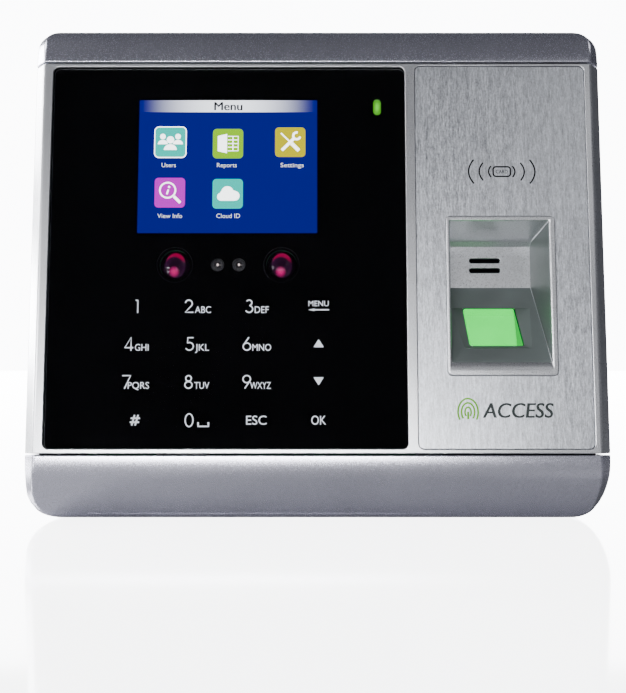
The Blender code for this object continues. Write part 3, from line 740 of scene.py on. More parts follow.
def clear_cover():
    """Hard clear cover: all gloss, hardly any reflection head on, a trace of smear."""
    recipe = Recipe("clear_cover", (0.985, 0.99, 0.995), 0.0)
    recipe.set("Transmission Weight", 1.0)
    recipe.set("IOR", 1.22)
    smear = recipe.noise(recipe.along(FACE, (9.0, 9.0, 16.0)), 3.0)
    recipe.feed("Roughness", recipe.spread(smear, 0.35, 0.75, 0.0, 0.035))
    return recipe.material


def print_layer(base):
    recipe = Recipe("black_print", base, 0.32)
    grain = recipe.noise(recipe.along(FACE, (0.12, 0.12, 0.12)), 2.0)
    recipe.feed("Base Color", recipe.tint(grain, scaled(base, 0.6), scaled(base, 1.4)))
    recipe.set("Specular IOR Level", 0.0)
    return recipe.material


def lit_print(name, value, unevenness=0.14):
    """Print that a lamp shines through, a little brighter in places."""
    recipe = Recipe(name, (0.0, 0.0, 0.0), 0.5)
    patches = recipe.noise(recipe.along(FACE, (2.2, 2.2, 2.2)), 1.0)
    recipe.set("Specular IOR Level", 0.0)
    recipe.shine(recipe.tint(recipe.spread(patches, 0.3, 0.7), scaled(value, 1 - unevenness),
                             scaled(value, 1 + unevenness)))
    return recipe.material


def dot_grid(recipe, value, strength=0.16):
    """A colour, or a colour output, dimmed along the gaps between the display's dots."""
    pitch = SCREEN_SIZE[0] / SCREEN_DOTS / math.pi
    vector = recipe.along(FACE, (pitch, pitch, pitch))
    axes = recipe.node("SeparateXYZ", {"Vector": vector}).outputs
    across = recipe.maths("ABSOLUTE", recipe.maths("SINE", axes["X"]))
    up = recipe.maths("ABSOLUTE", recipe.maths("SINE", axes["Z"]))
    light = recipe.spread(recipe.maths("MULTIPLY", across, up), 0.0, 0.6)
    if isinstance(value, tuple):
        return recipe.tint(light, scaled(value, 1 - strength), value)
    gap = recipe.spread(light, 0.0, 1.0, strength, 0.0)
    return recipe.tint(gap, value, (0.0, 0.0, 0.0))


def screen_colour(name, value):
    recipe = Recipe(name, (0.0, 0.0, 0.0), 0.4)
    recipe.set("Specular IOR Level", 0.0)
    recipe.shine(dot_grid(recipe, tuple(value)))
    return recipe.material


def title_bar_light(centre, half, side, light):
    """Blue at both ends, white across the middle."""
    recipe = Recipe("title_bar_light", (0.0, 0.0, 0.0), 0.4)
    recipe.set("Specular IOR Level", 0.0)
    place = FACE @ Matrix.Translation((centre[0], 0.0, centre[1]))
    axes = recipe.node("SeparateXYZ", {"Vector": recipe.along(place, (half, half, half))}).outputs
    away = recipe.maths("ABSOLUTE", axes["X"])
    fade = recipe.spread(away, 0.12, 1.0, smooth=True)
    recipe.shine(dot_grid(recipe, recipe.tint(fade, light, side)))
    return recipe.material


def window_light(place, value):
    """Finger window: even green, with painted shade in the wedge where the prism's side is seen
    through.
    """
    recipe = Recipe("finger_window_light", scaled(value, 0.05), 0.12)
    axes = recipe.node("SeparateXYZ", {"Vector": recipe.along(place, (1, 1, 1))}).outputs
    # Painted shade: the wedge seen through the prism's side is dimmed to 40 per cent
    lean = recipe.maths("MULTIPLY", axes["Z"], -0.105)
    edge = recipe.spread(recipe.maths("ADD", axes["X"], lean), 7.15, 7.45)
    glow = recipe.spread(recipe.noise(recipe.along(place, (7, 7, 7)), 1.0), 0.3, 0.7)
    face = recipe.tint(glow, scaled(value, 0.92), scaled(value, 1.06))
    recipe.shine(recipe.tint(edge, face, scaled(value, 0.40)))
    recipe.set("Coat Weight", 0.6)
    recipe.set("Coat Roughness", 0.05)
    return recipe.material


def slot_light(place, value):
    recipe = Recipe("status_light", scaled(value, 0.1), 0.25)
    vector = recipe.along(place, (1.25, 8.0, 2.65))
    core = recipe.spread(recipe.distance(vector), 0.1, 1.0, smooth=True)
    recipe.shine(recipe.tint(core, scaled(value, 1.25), scaled(value, 0.45)))
    return recipe.material


def offset(place, x, z):
    return place @ Matrix.Translation((x, 0.0, z))


# Step along the depth so long that a pattern doesn't change with it
ENDLESS = 1e5


def emitter_light(name, place, value):
    """Dark violet lens with a hot spot low down and a crescent of painted reflection at its top."""
    recipe = Recipe(name, (0.010, 0.002, 0.010), 0.15)
    spot = recipe.distance(recipe.along(offset(place, -0.3, -2.1), (1.0, ENDLESS, 1.0)))
    hot = recipe.spread(spot, 0.2, 2.0, 1.0, 0.0, smooth=True)
    body = recipe.distance(recipe.along(offset(place, 0.1, 0.0), (3.35, ENDLESS, 4.2)))
    inner = recipe.distance(recipe.along(offset(place, -0.3, -1.3), (3.2, ENDLESS, 3.9)))
    inside = recipe.spread(body, 0.90, 1.0, 1.0, 0.0, smooth=True)
    outside = recipe.spread(inner, 0.94, 1.14, smooth=True)
    # Painted reflection: a bright crescent along the top of the lens
    painted_reflection_crescent = recipe.maths("MULTIPLY", inside, outside)
    upper = recipe.node("SeparateXYZ", {"Vector": recipe.along(place, (1, 1, 1))}).outputs["Z"]
    painted_reflection_crescent = recipe.maths("MULTIPLY", painted_reflection_crescent, recipe.spread(upper, 0.4, 2.6, smooth=True))
    haze = recipe.maths("MULTIPLY", inside, recipe.spread(body, 0.3, 0.95, 0.25, 1.0))
    glow = recipe.tint(haze, (0.0, 0.0, 0.0), (0.020, 0.002, 0.020))
    glow = recipe.tint(painted_reflection_crescent, glow, (value[0] * 0.42, 0.0, value[2] * 0.22))
    recipe.shine(recipe.tint(hot, glow, tuple(value)))
    recipe.set("Specular IOR Level", 0.2)
    return recipe.material


def receiver_painted_light(name, place):
    """Painted light on a lens that gives none: a mottled reflection ring round a dark middle, and a
    glint point with a short streak.
    """
    recipe = Recipe(name, (0.004, 0.004, 0.005), 0.3)
    radius = recipe.distance(recipe.along(place, (1.0, ENDLESS, 1.0)))
    speckle = recipe.noise(recipe.along(place, (0.22, 0.22, 0.22)), 3.0, 0.7)
    # Painted reflection: a speckled ring round the dark middle
    reflection_band = recipe.maths("MULTIPLY", recipe.spread(radius, 1.0, 1.25),
                        recipe.spread(radius, 1.9, 2.1, 1.0, 0.0))
    ring = recipe.maths("MULTIPLY", reflection_band, recipe.spread(speckle, 0.46, 0.66))
    # Painted glint: a bright point with a short streak beside it
    point = recipe.distance(recipe.along(offset(place, 0.0, 0.1), (0.40, ENDLESS, 0.55)))
    dot = recipe.spread(point, 0.35, 1.1, 1.0, 0.0, smooth=True)
    glint_tail = recipe.distance(recipe.along(offset(place, 0.75, 0.0), (0.7, ENDLESS, 0.3)))
    streak = recipe.spread(glint_tail, 0.2, 1.0, 0.35, 0.0, smooth=True)
    glow = recipe.tint(ring, (0.001, 0.001, 0.0012), (0.10, 0.10, 0.115))
    glow = recipe.tint(streak, glow, (0.5, 0.45, 0.45))
    recipe.shine(recipe.tint(dot, glow, (1.6, 1.3, 1.3)))
    recipe.set("Specular IOR Level", 0.2)
    return recipe.material


def moulded(name, base, roughness=0.5, grain=0.35, place=WORLD):
    """Moulded plastic with a fine spark-eroded texture."""
    recipe = Recipe(name, base, roughness)
    texture = recipe.noise(recipe.along(place, (grain, grain, grain)), 3.0, 0.6)
    slow = recipe.noise(recipe.along(place, (22.0, 22.0, 22.0)), 2.0)
    recipe.feed("Base Color", recipe.tint(recipe.spread(slow, 0.35, 0.65), scaled(base, 0.85),
                                          scaled(base, 1.15)))
    recipe.feed("Roughness", recipe.spread(texture, 0.3, 0.7, roughness - 0.07, roughness + 0.08))
    recipe.bump(texture, 0.35, 0.06)
    return recipe.material


def rolled_metal(name, base, roughness=0.3, streak=(6.0, 1.0, 0.3)):
    """Sheet or turned metal with faint drawing lines and a dull bloom."""
    recipe = Recipe(name, base, roughness, 1.0)
    lines = recipe.noise(recipe.along(WORLD, streak), 3.0)
    bloom = recipe.noise(recipe.along(WORLD, (11.0, 11.0, 11.0)), 3.0)
    recipe.feed("Base Color", recipe.tint(recipe.spread(bloom, 0.35, 0.65), scaled(base, 0.88),
                                          scaled(base, 1.08)))
    recipe.feed("Roughness", recipe.spread(lines, 0.3, 0.7, roughness - 0.06, roughness + 0.10))
    recipe.bump(lines, 0.12, 0.03)
    return recipe.material


def board_green():
    """Solder mask over copper tracks."""
    recipe = Recipe("circuit_board", (0.012, 0.10, 0.045), 0.35)
    cells = recipe.node("TexVoronoi", {"Vector": recipe.along(WORLD, (2.4, 40.0, 1.5)), "Scale": 1.0},
                        distance="MANHATTAN")
    tracks = recipe.spread(cells.outputs["Distance"], 0.42, 0.5)
    recipe.feed("Base Color", recipe.tint(tracks, (0.010, 0.085, 0.038), (0.022, 0.17, 0.075)))
    recipe.bump(tracks, 0.3, 0.05)
    return recipe.material


def plain_detail(name, base, roughness, size=3.0, gloss=0.5):
    """A quiet finish for small parts and inks: slow tone and roughness changes."""
    recipe = Recipe(name, base, roughness)
    recipe.set("Specular IOR Level", gloss)
    slow = recipe.noise(recipe.along(WORLD, (size, size, size)), 2.0)
    recipe.feed("Base Color", recipe.tint(slow, scaled(base, 0.85), scaled(base, 1.15)))
    recipe.feed("Roughness", recipe.spread(slow, 0.3, 0.7, roughness * 0.85, roughness * 1.15))
    return recipe.material


MADE = {}


def shared(name, maker, *values):
    """The material kept under that name, made the first time it is asked for."""
    if name not in MADE:
        MADE[name] = maker(*values)
    return MADE[name]


def silver():
    return shared("silver_paint", silver_paint, "silver_paint", tuple(colours().silver))


# A darker, violet copy of the silver paint: painted shade and painted violet light on the caps
def shaded_cap_silver():
    return shared("cap_paint", silver_paint, "cap_paint", tuple(colours().cap), 0.24, 0.12)


def rear_plastic():
    return shared("rear_plastic", moulded, "rear_plastic", tuple(colours().rear), 0.48)


def steel():
    return shared("steel", rolled_metal, "steel", (0.55, 0.56, 0.58))


def black_plastic():
    return shared("black_plastic", moulded, "black_plastic", (0.018, 0.018, 0.020), 0.45, 0.3)


def black_print():
    return shared("black_print", print_layer, tuple(colours().print_black))


def gold():
    return shared("gold_contact", rolled_metal, "gold_contact", (0.85, 0.62, 0.24), 0.25)


# ---------------------------------------------------------------- frame and caps

def section_line(inset=0.0, fade=1.0, depth=0.0):
    """The body's outline seen from above, (x, depth) from the left rear to the right rear."""
    across, down = CHAMFER[0] * fade, CHAMFER[1] * fade
    edge = min(depth + down, PARTING - GAP)
    front = HALF_WIDTH - across
    corners = ((-HALF_WIDTH, PARTING), (-HALF_WIDTH, edge), (-front, depth), (front, depth),
               (HALF_WIDTH, edge), (HALF_WIDTH, PARTING))
    line = eased([Vector(corner) for corner in corners], mm(sizes().ridge_fillet) * fade)
    return shifted(line, -inset) if inset else line


def build_front_frame():
    fillet = mm(sizes().seam_fillet)
    half = SHELL.z1
    rows = [(inset, depth - half) for inset, depth in quarter(fillet)]
    rows += [(inset, half - depth) for inset, depth in reversed(quarter(fillet))]
    loops = []
    for inset, z in rows:
        loops.append([(x, y, z) for x, y in section_line(inset)])
    rim = mm(sizes().rim_fillet)
    glass_back, plate_back = GLASS.y1 + GAP, PLATE.y1 + GAP
    inner = HALF_WIDTH - WALL
    cuts = [
        block((-inner, inner), (glass_back + PANEL_BACKING, 30.0), (WALL - half, half - WALL)),
        flared(rect(GLASS, PANEL_GAP), GLASS_CORNER + PANEL_GAP, glass_back, rim),
        flared(rect(PLATE, PANEL_GAP), PLATE_CORNER + PANEL_GAP, plate_back, rim),
        block((WELL.x0 - GAP, WELL.x1 + GAP), (-3.0, 30.0), (WELL.z0 - GAP, WELL.z1 + GAP)),
    ]
    for box, grow in ((CELL, GAP), (KEYS, 0.5), (HOLDER, GAP), (STATUS, GAP)):
        x0, x1, z0, z1 = rect(box, grow)
        cuts.append(block((x0, x1), (-3.0, 12.0), (z0, z1)))
    shell = raw_object("front_frame", loft(loops))
    carve(shell, cuts)
    carve(shell, *screw_posts())
    settle(shell, FACE, silver(), replaces=("front_housing",))


def screw_posts():
    """Bores and posts for the housing screws, from behind the front surface to their heads."""
    to_face = FACE.inverted() @ WORLD
    bores, posts = [], []
    for screw in SCREWS:
        x, z = middle(screw)
        start, end = face_depth_at(z) + 3.5, screw.y1 - 2.7
        bores.append(moved(turned(((SCREW_BORE, screw.y0), (SCREW_BORE, 0.0)), (x, z)), to_face))
        posts.append(moved(turned(((SCREW_POST, start), (SCREW_POST, end)), (x, z)), to_face))
    return bores, posts


def face_depth_at(height):
    """World depth of the front surface at a world height, both in millimetres."""
    origin = FACE.translation / MM
    return origin.y + (height - origin.z) * math.tan(LEAN)


def cap_profile(arcs, inset, count):
    """(height above the seam, depth) along a cap's middle, evenly along each arc."""
    height, depth, heading = 0.0, inset, 0.0
    points = [(height, depth)]
    total = sum(sweep for _, sweep in arcs)
    for radius, sweep in arcs:
        small = radius - inset
        steps = max(2, round(count * sweep / total))
        begin = math.radians(heading)
        for step in range(1, steps + 1):
            angle = begin + math.radians(sweep) * step / steps
            points.append((height + small * (math.sin(angle) - math.sin(begin)),
                           depth + small * (math.cos(begin) - math.cos(angle))))
        height, depth = points[-1]
        heading += sweep
    return points


def corner_share(height, top, corner, inset):
    """How far the body's side comes in where a round corner ends it."""
    across, up = corner[0] - inset, corner[1] - inset
    over = max(0.0, height - (top - up))
    return inset + across * (1.0 - math.sqrt(max(0.0, 1.0 - (over / up) ** 2)))


def cap_grid(arcs, corners, sign, start, inset, fillet, count=40):
    """Rows of points from the seam over to the back plane; inset moves them inside the wall."""
    outer = cap_profile(arcs, 0.0, count)
    profile = cap_profile(arcs, inset, count)
    top = profile[-1][0]
    rows = [(0.0 if inset else spare, rise, profile[0][1]) for spare, rise in quarter(fillet)]
    rows += [(0.0, *own) for own, (height, _) in zip(profile, outer) if height > fillet + 0.05]
    grid = []
    for spare, height, depth in rows:
        share = height / top
        fade = 1.0 - (1.0 - CHAMFER_FADE) * share ** 2
        left = corner_share(height, top, corners[0], inset)
        right = corner_share(height, top, corners[1], inset)
        edge = min(depth + CHAMFER[1] * fade, PARTING - GAP)
        rear = sign * (PARTING - depth) * math.tan(LEAN) * share
        row = []
        for x, y in section_line(spare, fade, depth):
            side = left if x < 0 else -right
            behind = max(0.0, (y - edge) / (PARTING - edge))
            row.append((x + side, y, sign * (start + height + rear * behind)))
        grid.append(row)
    back = grid[-1][0][2]
    grid.append([(x, PARTING, back) for x, _, _ in grid[-1]])
    return grid


def build_cap(name, node, arcs, corners, sign):
    box = face_box(node)
    start = box.z0 if sign > 0 else -box.z1
    fillet = mm(sizes().seam_fillet)
    outer = cap_grid(arcs, corners, sign, start, 0.0, fillet)
    inner = cap_grid(arcs, corners, sign, start, WALL, fillet)
    piece(name, shell_between(outer, inner), FACE, shaded_cap_silver(),
          replaces=(node,), sharp=40.0)


# ---------------------------------------------------------------- cover glass and its print

def build_cover():
    fillet = mm(sizes().glass_fillet)
    glass = slab(rect(GLASS, COVER_GROW), GLASS_CORNER + COVER_GROW, (GLASS.y0, GLASS.y1), fillet,
                 0.05, steps=8)
    piece("cover_glass", glass, FACE, shared("clear_cover", clear_cover),
          replaces=("glass_panel",))
    layer = slab(rect(GLASS, PRINT_GROW), GLASS_CORNER + PRINT_GROW, PRINT_DEPTHS, steps=8)
    screen = around(SCREEN_CENTRE, *SCREEN_SIZE)
    holes = [slab(screen, 0.3, (0.0, 4.0)),
             slab(rect(STATUS, 0.02), (STATUS.x1 - STATUS.x0) / 2, (0.0, 4.0))]
    for kind, radius in (("emitter", EMITTER_WINDOW), ("receiver", RECEIVER_WINDOW)):
        for side in ("left", "right"):
            centre = middle(face_box(f"infrared_{kind}_{side}"))
            holes.append(turned(((radius, 0.0), (radius, 4.0)), centre, 48))
    piece("printed_layer", layer, FACE, black_print(), cuts=holes,
          weighted=False)


# ---------------------------------------------------------------- display

def on_screen(across, down):
    """Face position of a point given as shares of the screen, from its upper left."""
    x, z = SCREEN_CENTRE
    return (x + (across - 0.5) * SCREEN_SIZE[0], z + (0.5 - down) * SCREEN_SIZE[1])


def at_depth(bm, depth, centre=(0.0, 0.0)):
    bmesh.ops.translate(bm, vec=(centre[0], depth, centre[1]), verts=bm.verts)
    return bm


def flat(outline, thickness=PRINT_THICKNESS):
    return prism(outline, -thickness / 2, thickness / 2)


def disc(centre, radius, steps=24):
    return flat(arc(centre, radius, 0, 360 - 360 / steps, steps - 1))


def person(x, z, size):
    """Head and shoulders."""
    shoulders = arc((x, z - 3.1 * size), (1.95 * size, 1.75 * size), 0, 180, 14)
    return [disc((x, z), 1.12 * size), flat(shoulders)]


def people_mark():
    return merged(person(-2.45, 1.85, 0.82) + person(2.45, 1.85, 0.82) + person(0.0, 0.75, 1.08))


def report_mark():
    """A folded cover beside a ruled sheet."""
    cover = flat(((-3.3, 2.5), (-0.3, 3.2), (-0.3, -3.2), (-3.3, -2.5)))
    left, right, top = -0.1, 3.3, 2.4
    rules = [([(left, top), (right, top), (right, -top), (left, -top)], False)]
    rules += [([(left, z), (right, z)], False) for z in (1.2, 0.0, -1.2)]
    rules += [([(1.6, top), (1.6, -top)], False)]
    return merged([cover, strokes(rules, 0.3)])


def tools_mark():
    """A spanner crossed with a screwdriver."""
    jaw = arc((2.1, 2.1), 1.15, 75, 345, 12)
    spanner = strokes([([(1.4, 1.4), (-2.7, -2.7)], False)], 1.1)
    blade = strokes([([(-3.0, 3.0), (-0.2, 0.2)], False)], 0.5)
    handle = strokes([([(0.4, -0.4), (2.8, -2.8)], False)], 1.35)
    return merged([spanner, strokes([(jaw, False)], 0.8), blade, handle])


def magnifier_mark():
    ring = arc((-0.7, 0.8), 2.5, 0, 345, 23)
    letter = [([(-0.45, 1.0), (-0.95, -0.5)], False)]
    parts = [strokes([(ring, True)], 0.55), strokes([([(1.3, -1.2), (3.4, -3.3)], False)], 1.0),
             strokes(letter, 0.6), disc((-0.25, 1.85), 0.36, 12)]
    return merged(parts)


def cloud_mark():
    outline = (arc((-2.1, -1.0), 1.3, 270, 110, 10) + arc((-0.1, 0.5), 1.95, 165, 20, 14)
               + arc((2.2, -0.7), 1.6, 75, -90, 12))
    return flat(outline)


# Name, label, its width, place across and down, label's place across, tile light, mark
SCREEN_ICONS = (
    ("users", "Users", 4.6, (0.177, 0.318), 0.170, (0.0, 0.98, 0.82), people_mark),
    ("reports", "Reports", 6.4, (0.500, 0.329), 0.495, (0.42, 0.98, 0.0), report_mark),
    ("settings", "Settings", 7.5, (0.849, 0.318), 0.860, (0.92, 0.80, 0.0), tools_mark),
    ("view", "View Info", 7.95, (0.178, 0.698), 0.180, (0.92, 0.0, 1.0), magnifier_mark),
    ("cloud", "Cloud ID", 7.6, (0.501, 0.706), 0.505, (0.0, 0.98, 0.82), cloud_mark),
)
LABEL_ROWS = (0.491, 0.871)
WHITE_LIGHT = (4.2, 4.3, 4.4)
LABEL_LIGHT = (1.5, 1.55, 1.65)
TITLE_LIGHT = (2.3, 2.4, 2.6)
TITLE_INK = (0.004, 0.004, 0.006)
ICON_CORNER = 1.25
OUTLINE = 0.32


def shown(name, bm, material):
    piece(name, bm, FACE, material, weighted=False)


def build_display():
    screen = around(SCREEN_CENTRE, *SCREEN_SIZE)
    back = slab(screen, 0.25, (SCREEN_DEPTH, SCREEN_DEPTH + 0.03))
    shown("screen_picture", back, shared("screen_blue", screen_colour, "screen_blue",
                                         colours().screen))
    white = shared("screen_white", screen_colour, "screen_white", WHITE_LIGHT)
    x0, x1, _, z1 = screen
    bar = slab((x0, x1, z1 - TITLE_HEIGHT, z1), 0.1, (ICON_DEPTH, ICON_DEPTH + PRINT_THICKNESS))
    centre = ((x0 + x1) / 2, z1 - TITLE_HEIGHT / 2)
    shown("title_bar", bar, title_bar_light(centre, SCREEN_SIZE[0] / 2, tuple(colours().screen),
                                            TITLE_LIGHT))
    title = at_depth(thickened("Menu", 2.7, centre, 9.2, 0.2), MARK_DEPTH)
    shown("title_text", title, shared("screen_grey", screen_colour, "screen_grey", TITLE_INK))
    size = ICON_SIZE + 2 * OUTLINE
    chosen = slab(around(on_screen(*SCREEN_ICONS[0][3]), size, size), ICON_CORNER + OUTLINE,
                  (SCREEN_DEPTH - PRINT_THICKNESS, SCREEN_DEPTH - 0.005))
    shown("icon_outline", chosen, white)
    dim_white = shared("screen_label", screen_colour, "screen_label", LABEL_LIGHT)
    for name, label, width, (across, down), label_across, light, mark in SCREEN_ICONS:
        place = on_screen(across, down)
        tile = slab(around(place, ICON_SIZE, ICON_SIZE), ICON_CORNER,
                    (ICON_DEPTH, ICON_DEPTH + PRINT_THICKNESS))
        shown(f"icon_{name}", tile, screen_colour(f"icon_{name}", light))
        shown(f"icon_{name}_mark", at_depth(mark(), MARK_DEPTH, place), white)
        row = LABEL_ROWS[0] if down < 0.5 else LABEL_ROWS[1]
        words = letters(label, 1.4, on_screen(label_across, row), width)
        shown(f"icon_{name}_label", at_depth(words, MARK_DEPTH), dim_white)


# ---------------------------------------------------------------- keypad legends

def legend(name, parts):
    white = shared("legend_light", lit_print, "legend_light", tuple(colours().legend))
    piece(name, at_depth(merged(parts), LEGEND_DEPTH), FACE, white,
          weighted=False)


def digit_key(digit, words, words_width, gap, centre):
    """A digit and the letters that follow it, centred together on its column."""
    lines, share = digit_lines(digit)
    width = share * DIGIT_HEIGHT
    left = centre[0] - (width + gap + words_width) / 2
    base = centre[1] - DIGIT_HEIGHT / 2
    drawn = [([(left + x * DIGIT_HEIGHT, base + z * DIGIT_HEIGHT) for x, z in points], closed)
             for points, closed in lines]
    parts = [strokes(drawn, mm(sizes().stroke))]
    if words:
        start = left + width + gap
        place = (start + words_width / 2, base + LETTER_HEIGHT / 2)
        parts.append(letters(words, LETTER_HEIGHT, place, words_width))
    return parts


def hash_lines(centre, width=2.9, height=3.3):
    """Two leaning uprights crossed by two bars."""
    x, z = centre
    lean, half, tall = 0.45, width / 2, height / 2
    lines = [([(x + side - lean, z - tall), (x + side + lean, z + tall)], False)
             for side in (-0.55, 0.55)]
    lines += [([(x - half + shift, z + up), (x + half + shift, z + up)], False)
              for up, shift in ((0.62, 0.12), (-0.62, -0.12))]
    return lines


def triangle(centre, width, height, sign):
    x, z = centre
    return flat(((x - width / 2, z - sign * height / 2), (x + width / 2, z - sign * height / 2),
                 (x, z + sign * height / 2)))


def build_keypad():
    columns, rows = KEY_COLUMNS, KEY_ROWS
    for index, (digit, words, width, gap) in enumerate(DIGIT_KEYS):
        centre = (columns[index % 3], rows[index // 3])
        legend(f"key_{digit}", digit_key(digit, words, width, gap, centre))
    low = rows[3] - 0.2
    legend("key_hash", [strokes(hash_lines((columns[0], low)), 0.55)])
    zero = digit_key("0", "", 0.0, 0.0, (columns[1] - 2.2, low))
    base = low - DIGIT_HEIGHT / 2 + 0.25
    left, right = columns[1] + 0.6, columns[1] + 3.8
    tray = [([(left, base + 1.3), (left, base), (right, base), (right, base + 1.3)], False)]
    legend("key_0", zero + [strokes(tray, 0.55)])
    legend("key_escape", [letters("ESC", WORD_HEIGHT, (columns[2], low), 6.4)])
    legend("key_confirm", [letters("OK", WORD_HEIGHT, (columns[3], low), 4.6)])
    x, z = columns[3], rows[0]
    arrow_base = z - 1.15
    shaft = strokes([([(x - 2.0, arrow_base), (x + 3.3, arrow_base)], False)], 0.42)
    head = flat(((x - 3.3, arrow_base), (x - 1.3, arrow_base - 0.42), (x - 1.3, arrow_base + 0.42)))
    legend("key_menu", [letters("MENU", 1.7, (x, z + 0.85), 6.4), shaft, head])
    legend("key_up", [triangle((x, rows[1] + 0.2), 3.2, 2.5, 1)])
    legend("key_down", [triangle((x, rows[2] + 0.2), 3.2, 2.5, -1)])


# ---------------------------------------------------------------- infrared and status lights

# Holes in the printed layer, and the lens domes: radius, depth of the rim and height
EMITTER_WINDOW = 5.75
RECEIVER_WINDOW = 2.15
EMITTER_DOME = (5.0, 5.4, 2.7)
RECEIVER_DOME = (2.05, 3.35, 0.6)
# (radius, depth) round the rings behind the emitter windows; the first one carries a faint painted
# highlight
PAINTED_HIGHLIGHT_RIM = [(5.62, 2.62), (5.66, 2.70), (5.62, 2.78), (5.5, 2.80), (5.46, 2.70), (5.5, 2.62)]
SHADE = [(4.95, 2.85), (5.74, 2.85), (5.74, 3.05), (4.95, 3.05)]


def domed_lens(dome, back, centre, steps, segments):
    """A lens with a domed front, from close round its middle out to its rim."""
    radius, rim, height = dome
    angles = [math.radians(6 + 84 * step / steps) for step in range(steps + 1)]
    front = [(radius * math.sin(a), rim - height * math.cos(a)) for a in angles]
    return turned(front + [(radius, back)], centre, segments)


def build_emitter(side):
    node = f"infrared_emitter_{side}"
    centre = middle(face_box(node))
    lens = domed_lens(EMITTER_DOME, EMITTER_LEFT.y1, centre, 14, 48)
    light = emitter_light(f"emitter_light_{side}", offset(FACE, *centre), tuple(colours().infrared))
    piece(f"emitter_lens_{side}", lens, FACE, light, replaces=(node,))
    piece(f"emitter_shade_{side}", turned_ring(SHADE, centre), FACE, black_print(),
          weighted=False)
    # A faint painted highlight ring round each emitter window
    piece(f"emitter_rim_{side}", turned_ring(PAINTED_HIGHLIGHT_RIM, centre), FACE,
          shared("faint_rim", lit_print, "faint_rim", (0.003, 0.003, 0.004)),
          weighted=False)


def build_receiver(side):
    node = f"infrared_receiver_{side}"
    centre = middle(face_box(node))
    piece(f"receiver_lens_{side}", domed_lens(RECEIVER_DOME, EMITTER_LEFT.y1, centre, 10, 40), FACE,
          receiver_painted_light(f"receiver_painted_light_{side}", offset(FACE, *centre)),
          replaces=(node,))


def build_infrared():
    for side in ("left", "right"):
        build_emitter(side)
        build_receiver(side)
    dress("infrared_holder", black_plastic())


def build_status_light():
    half = (STATUS.x1 - STATUS.x0) / 2
    pipe = slab(rect(STATUS), half - 0.01, (STATUS.y0, STATUS.y1), 0.35, 0.1, steps=10)
    light = slot_light(offset(FACE, *middle(STATUS)), tuple(colours().status))
    piece("status_slot_light", pipe, FACE, light,
          replaces=("status_light_pipe",))


# ---------------------------------------------------------------- brushed plate and its marks

CARD_MARK_CENTRE = (58.9, 26.9)
BADGE_CENTRE = (59.0, -49.3)
SURFACE_PRINT = 0.05
PLATE_HOLE_GAP = 0.12
WELL_CORNER = 1.6


def card_mark():
    """A small card between three widening arcs on each side."""
    x, z = CARD_MARK_CENTRE
    line = mm(sizes().mark_line)
    card = rounded(around((x, z), 5.5, 3.15), 0.9, 5)
    lines = [(card, True)]
    for away, tall in ((4.2, 1.8), (7.2, 2.9), (10.6, 3.9)):
        bulge = tall * 0.42
        for side in (-1, 1):
            points = []
            for step in range(11):
                turn = -1 + 2 * step / 10
                points.append((x + side * (away + bulge * (1 - turn ** 2) - bulge), z + tall * turn))
            lines.append((points, False))
    return [strokes(lines, line, SURFACE_PRINT),
            letters("CARD", 1.15, (x, z), 3.8, depth=SURFACE_PRINT)]


def fingerprint_mark(centre, size):
    """Nested ridges of a fingertip, each open at the foot."""
    x, z = centre
    lines = []
    for ring in range(3):
        across = size * (0.15 + 0.17 * ring)
        up = size * (0.24 + 0.21 * ring)
        start = -52 + 9 * ring
        lines.append((arc((x, z - 0.08 * size), (across, up), start, 180 - start, 16), False))
    lines.append(([(x, z - 0.06 * size), (x, z - 0.42 * size)], False))
    return strokes(lines, size * 0.10, SURFACE_PRINT)


def surface_mark(name, parts, depth, material):
    piece(name, at_depth(merged(parts), depth - SURFACE_PRINT / 2 - 0.005), FACE, material,
          weighted=False)


def ink(name, base):
    """Matt printing ink."""
    return shared(name, plain_detail, name, base, 0.6, 2.0, 0.1)


def build_plate():
    hole = slab(rect(WELL, PLATE_HOLE_GAP), WELL_CORNER + PLATE_HOLE_GAP, (-3.0, 5.0), steps=8)
    plate = slab(rect(PLATE), PLATE_CORNER, (PLATE.y0, PLATE.y1), 0.15, 0.05, steps=8)
    piece("brushed_front_plate", plate, FACE,
          shared("brushed_metal", brushed_metal, tuple(colours().brushed)),
          replaces=("brushed_plate",), cuts=[hole])
    surface_mark("card_mark", card_mark(), PLATE.y0, ink("dark_ink", (0.004, 0.004, 0.005)))
    x, z = BADGE_CENTRE
    surface_mark("badge_ridges", [fingerprint_mark((x - 12.2, z), 6.4)], PLATE.y0,
                 ink("green_ink", (0.10, 0.36, 0.005)))
    words = thickened("ACCESS", 4.5, (x + 3.4, z), 22.2, 0.26, 0.14, SURFACE_PRINT)
    surface_mark("badge_word", [words], PLATE.y0, ink("grey_ink", (0.030, 0.036, 0.036)))


# ---------------------------------------------------------------- finger well and window

# Side walls and the taper of the right one; the ceiling and the slope are (depth, height) pairs
WELL_INSIDE = (41.9, 73.4)
WALL_TAPER = 0.6
WELL_BACK = 21.6
CEILING = ((0.0, 10.8), (20.0, 8.4), (WELL_BACK, 7.0))
SLOPE = ((1.8, -32.3), (WELL_BACK, -7.2))
RIM_DEPTH = 3.1
SPEAKER_SLOT = (10.6, 1.6)
SPEAKER_SLOT_X = 57.3
SPEAKER_SLOT_ROWS = (2.2, -1.2)
# The dished facets: how far they spread for each step up, and where they start and end
DISH_SPREAD = 2.83
DISH_FOOT = 0.15
DISH_TOP = 1.7
# The darker finish, partly the slope and dish's own grey and partly painted shade, starts this far
# in, on faces turned at least so far towards the sensor
ROLL_EDGE = 0.75
SLOPE_TILT = 0.88
WINDOW = measured("sensor_window", SENSOR)
PANE = SENSOR @ Matrix.Rotation(-math.pi / 2, 4, "X")


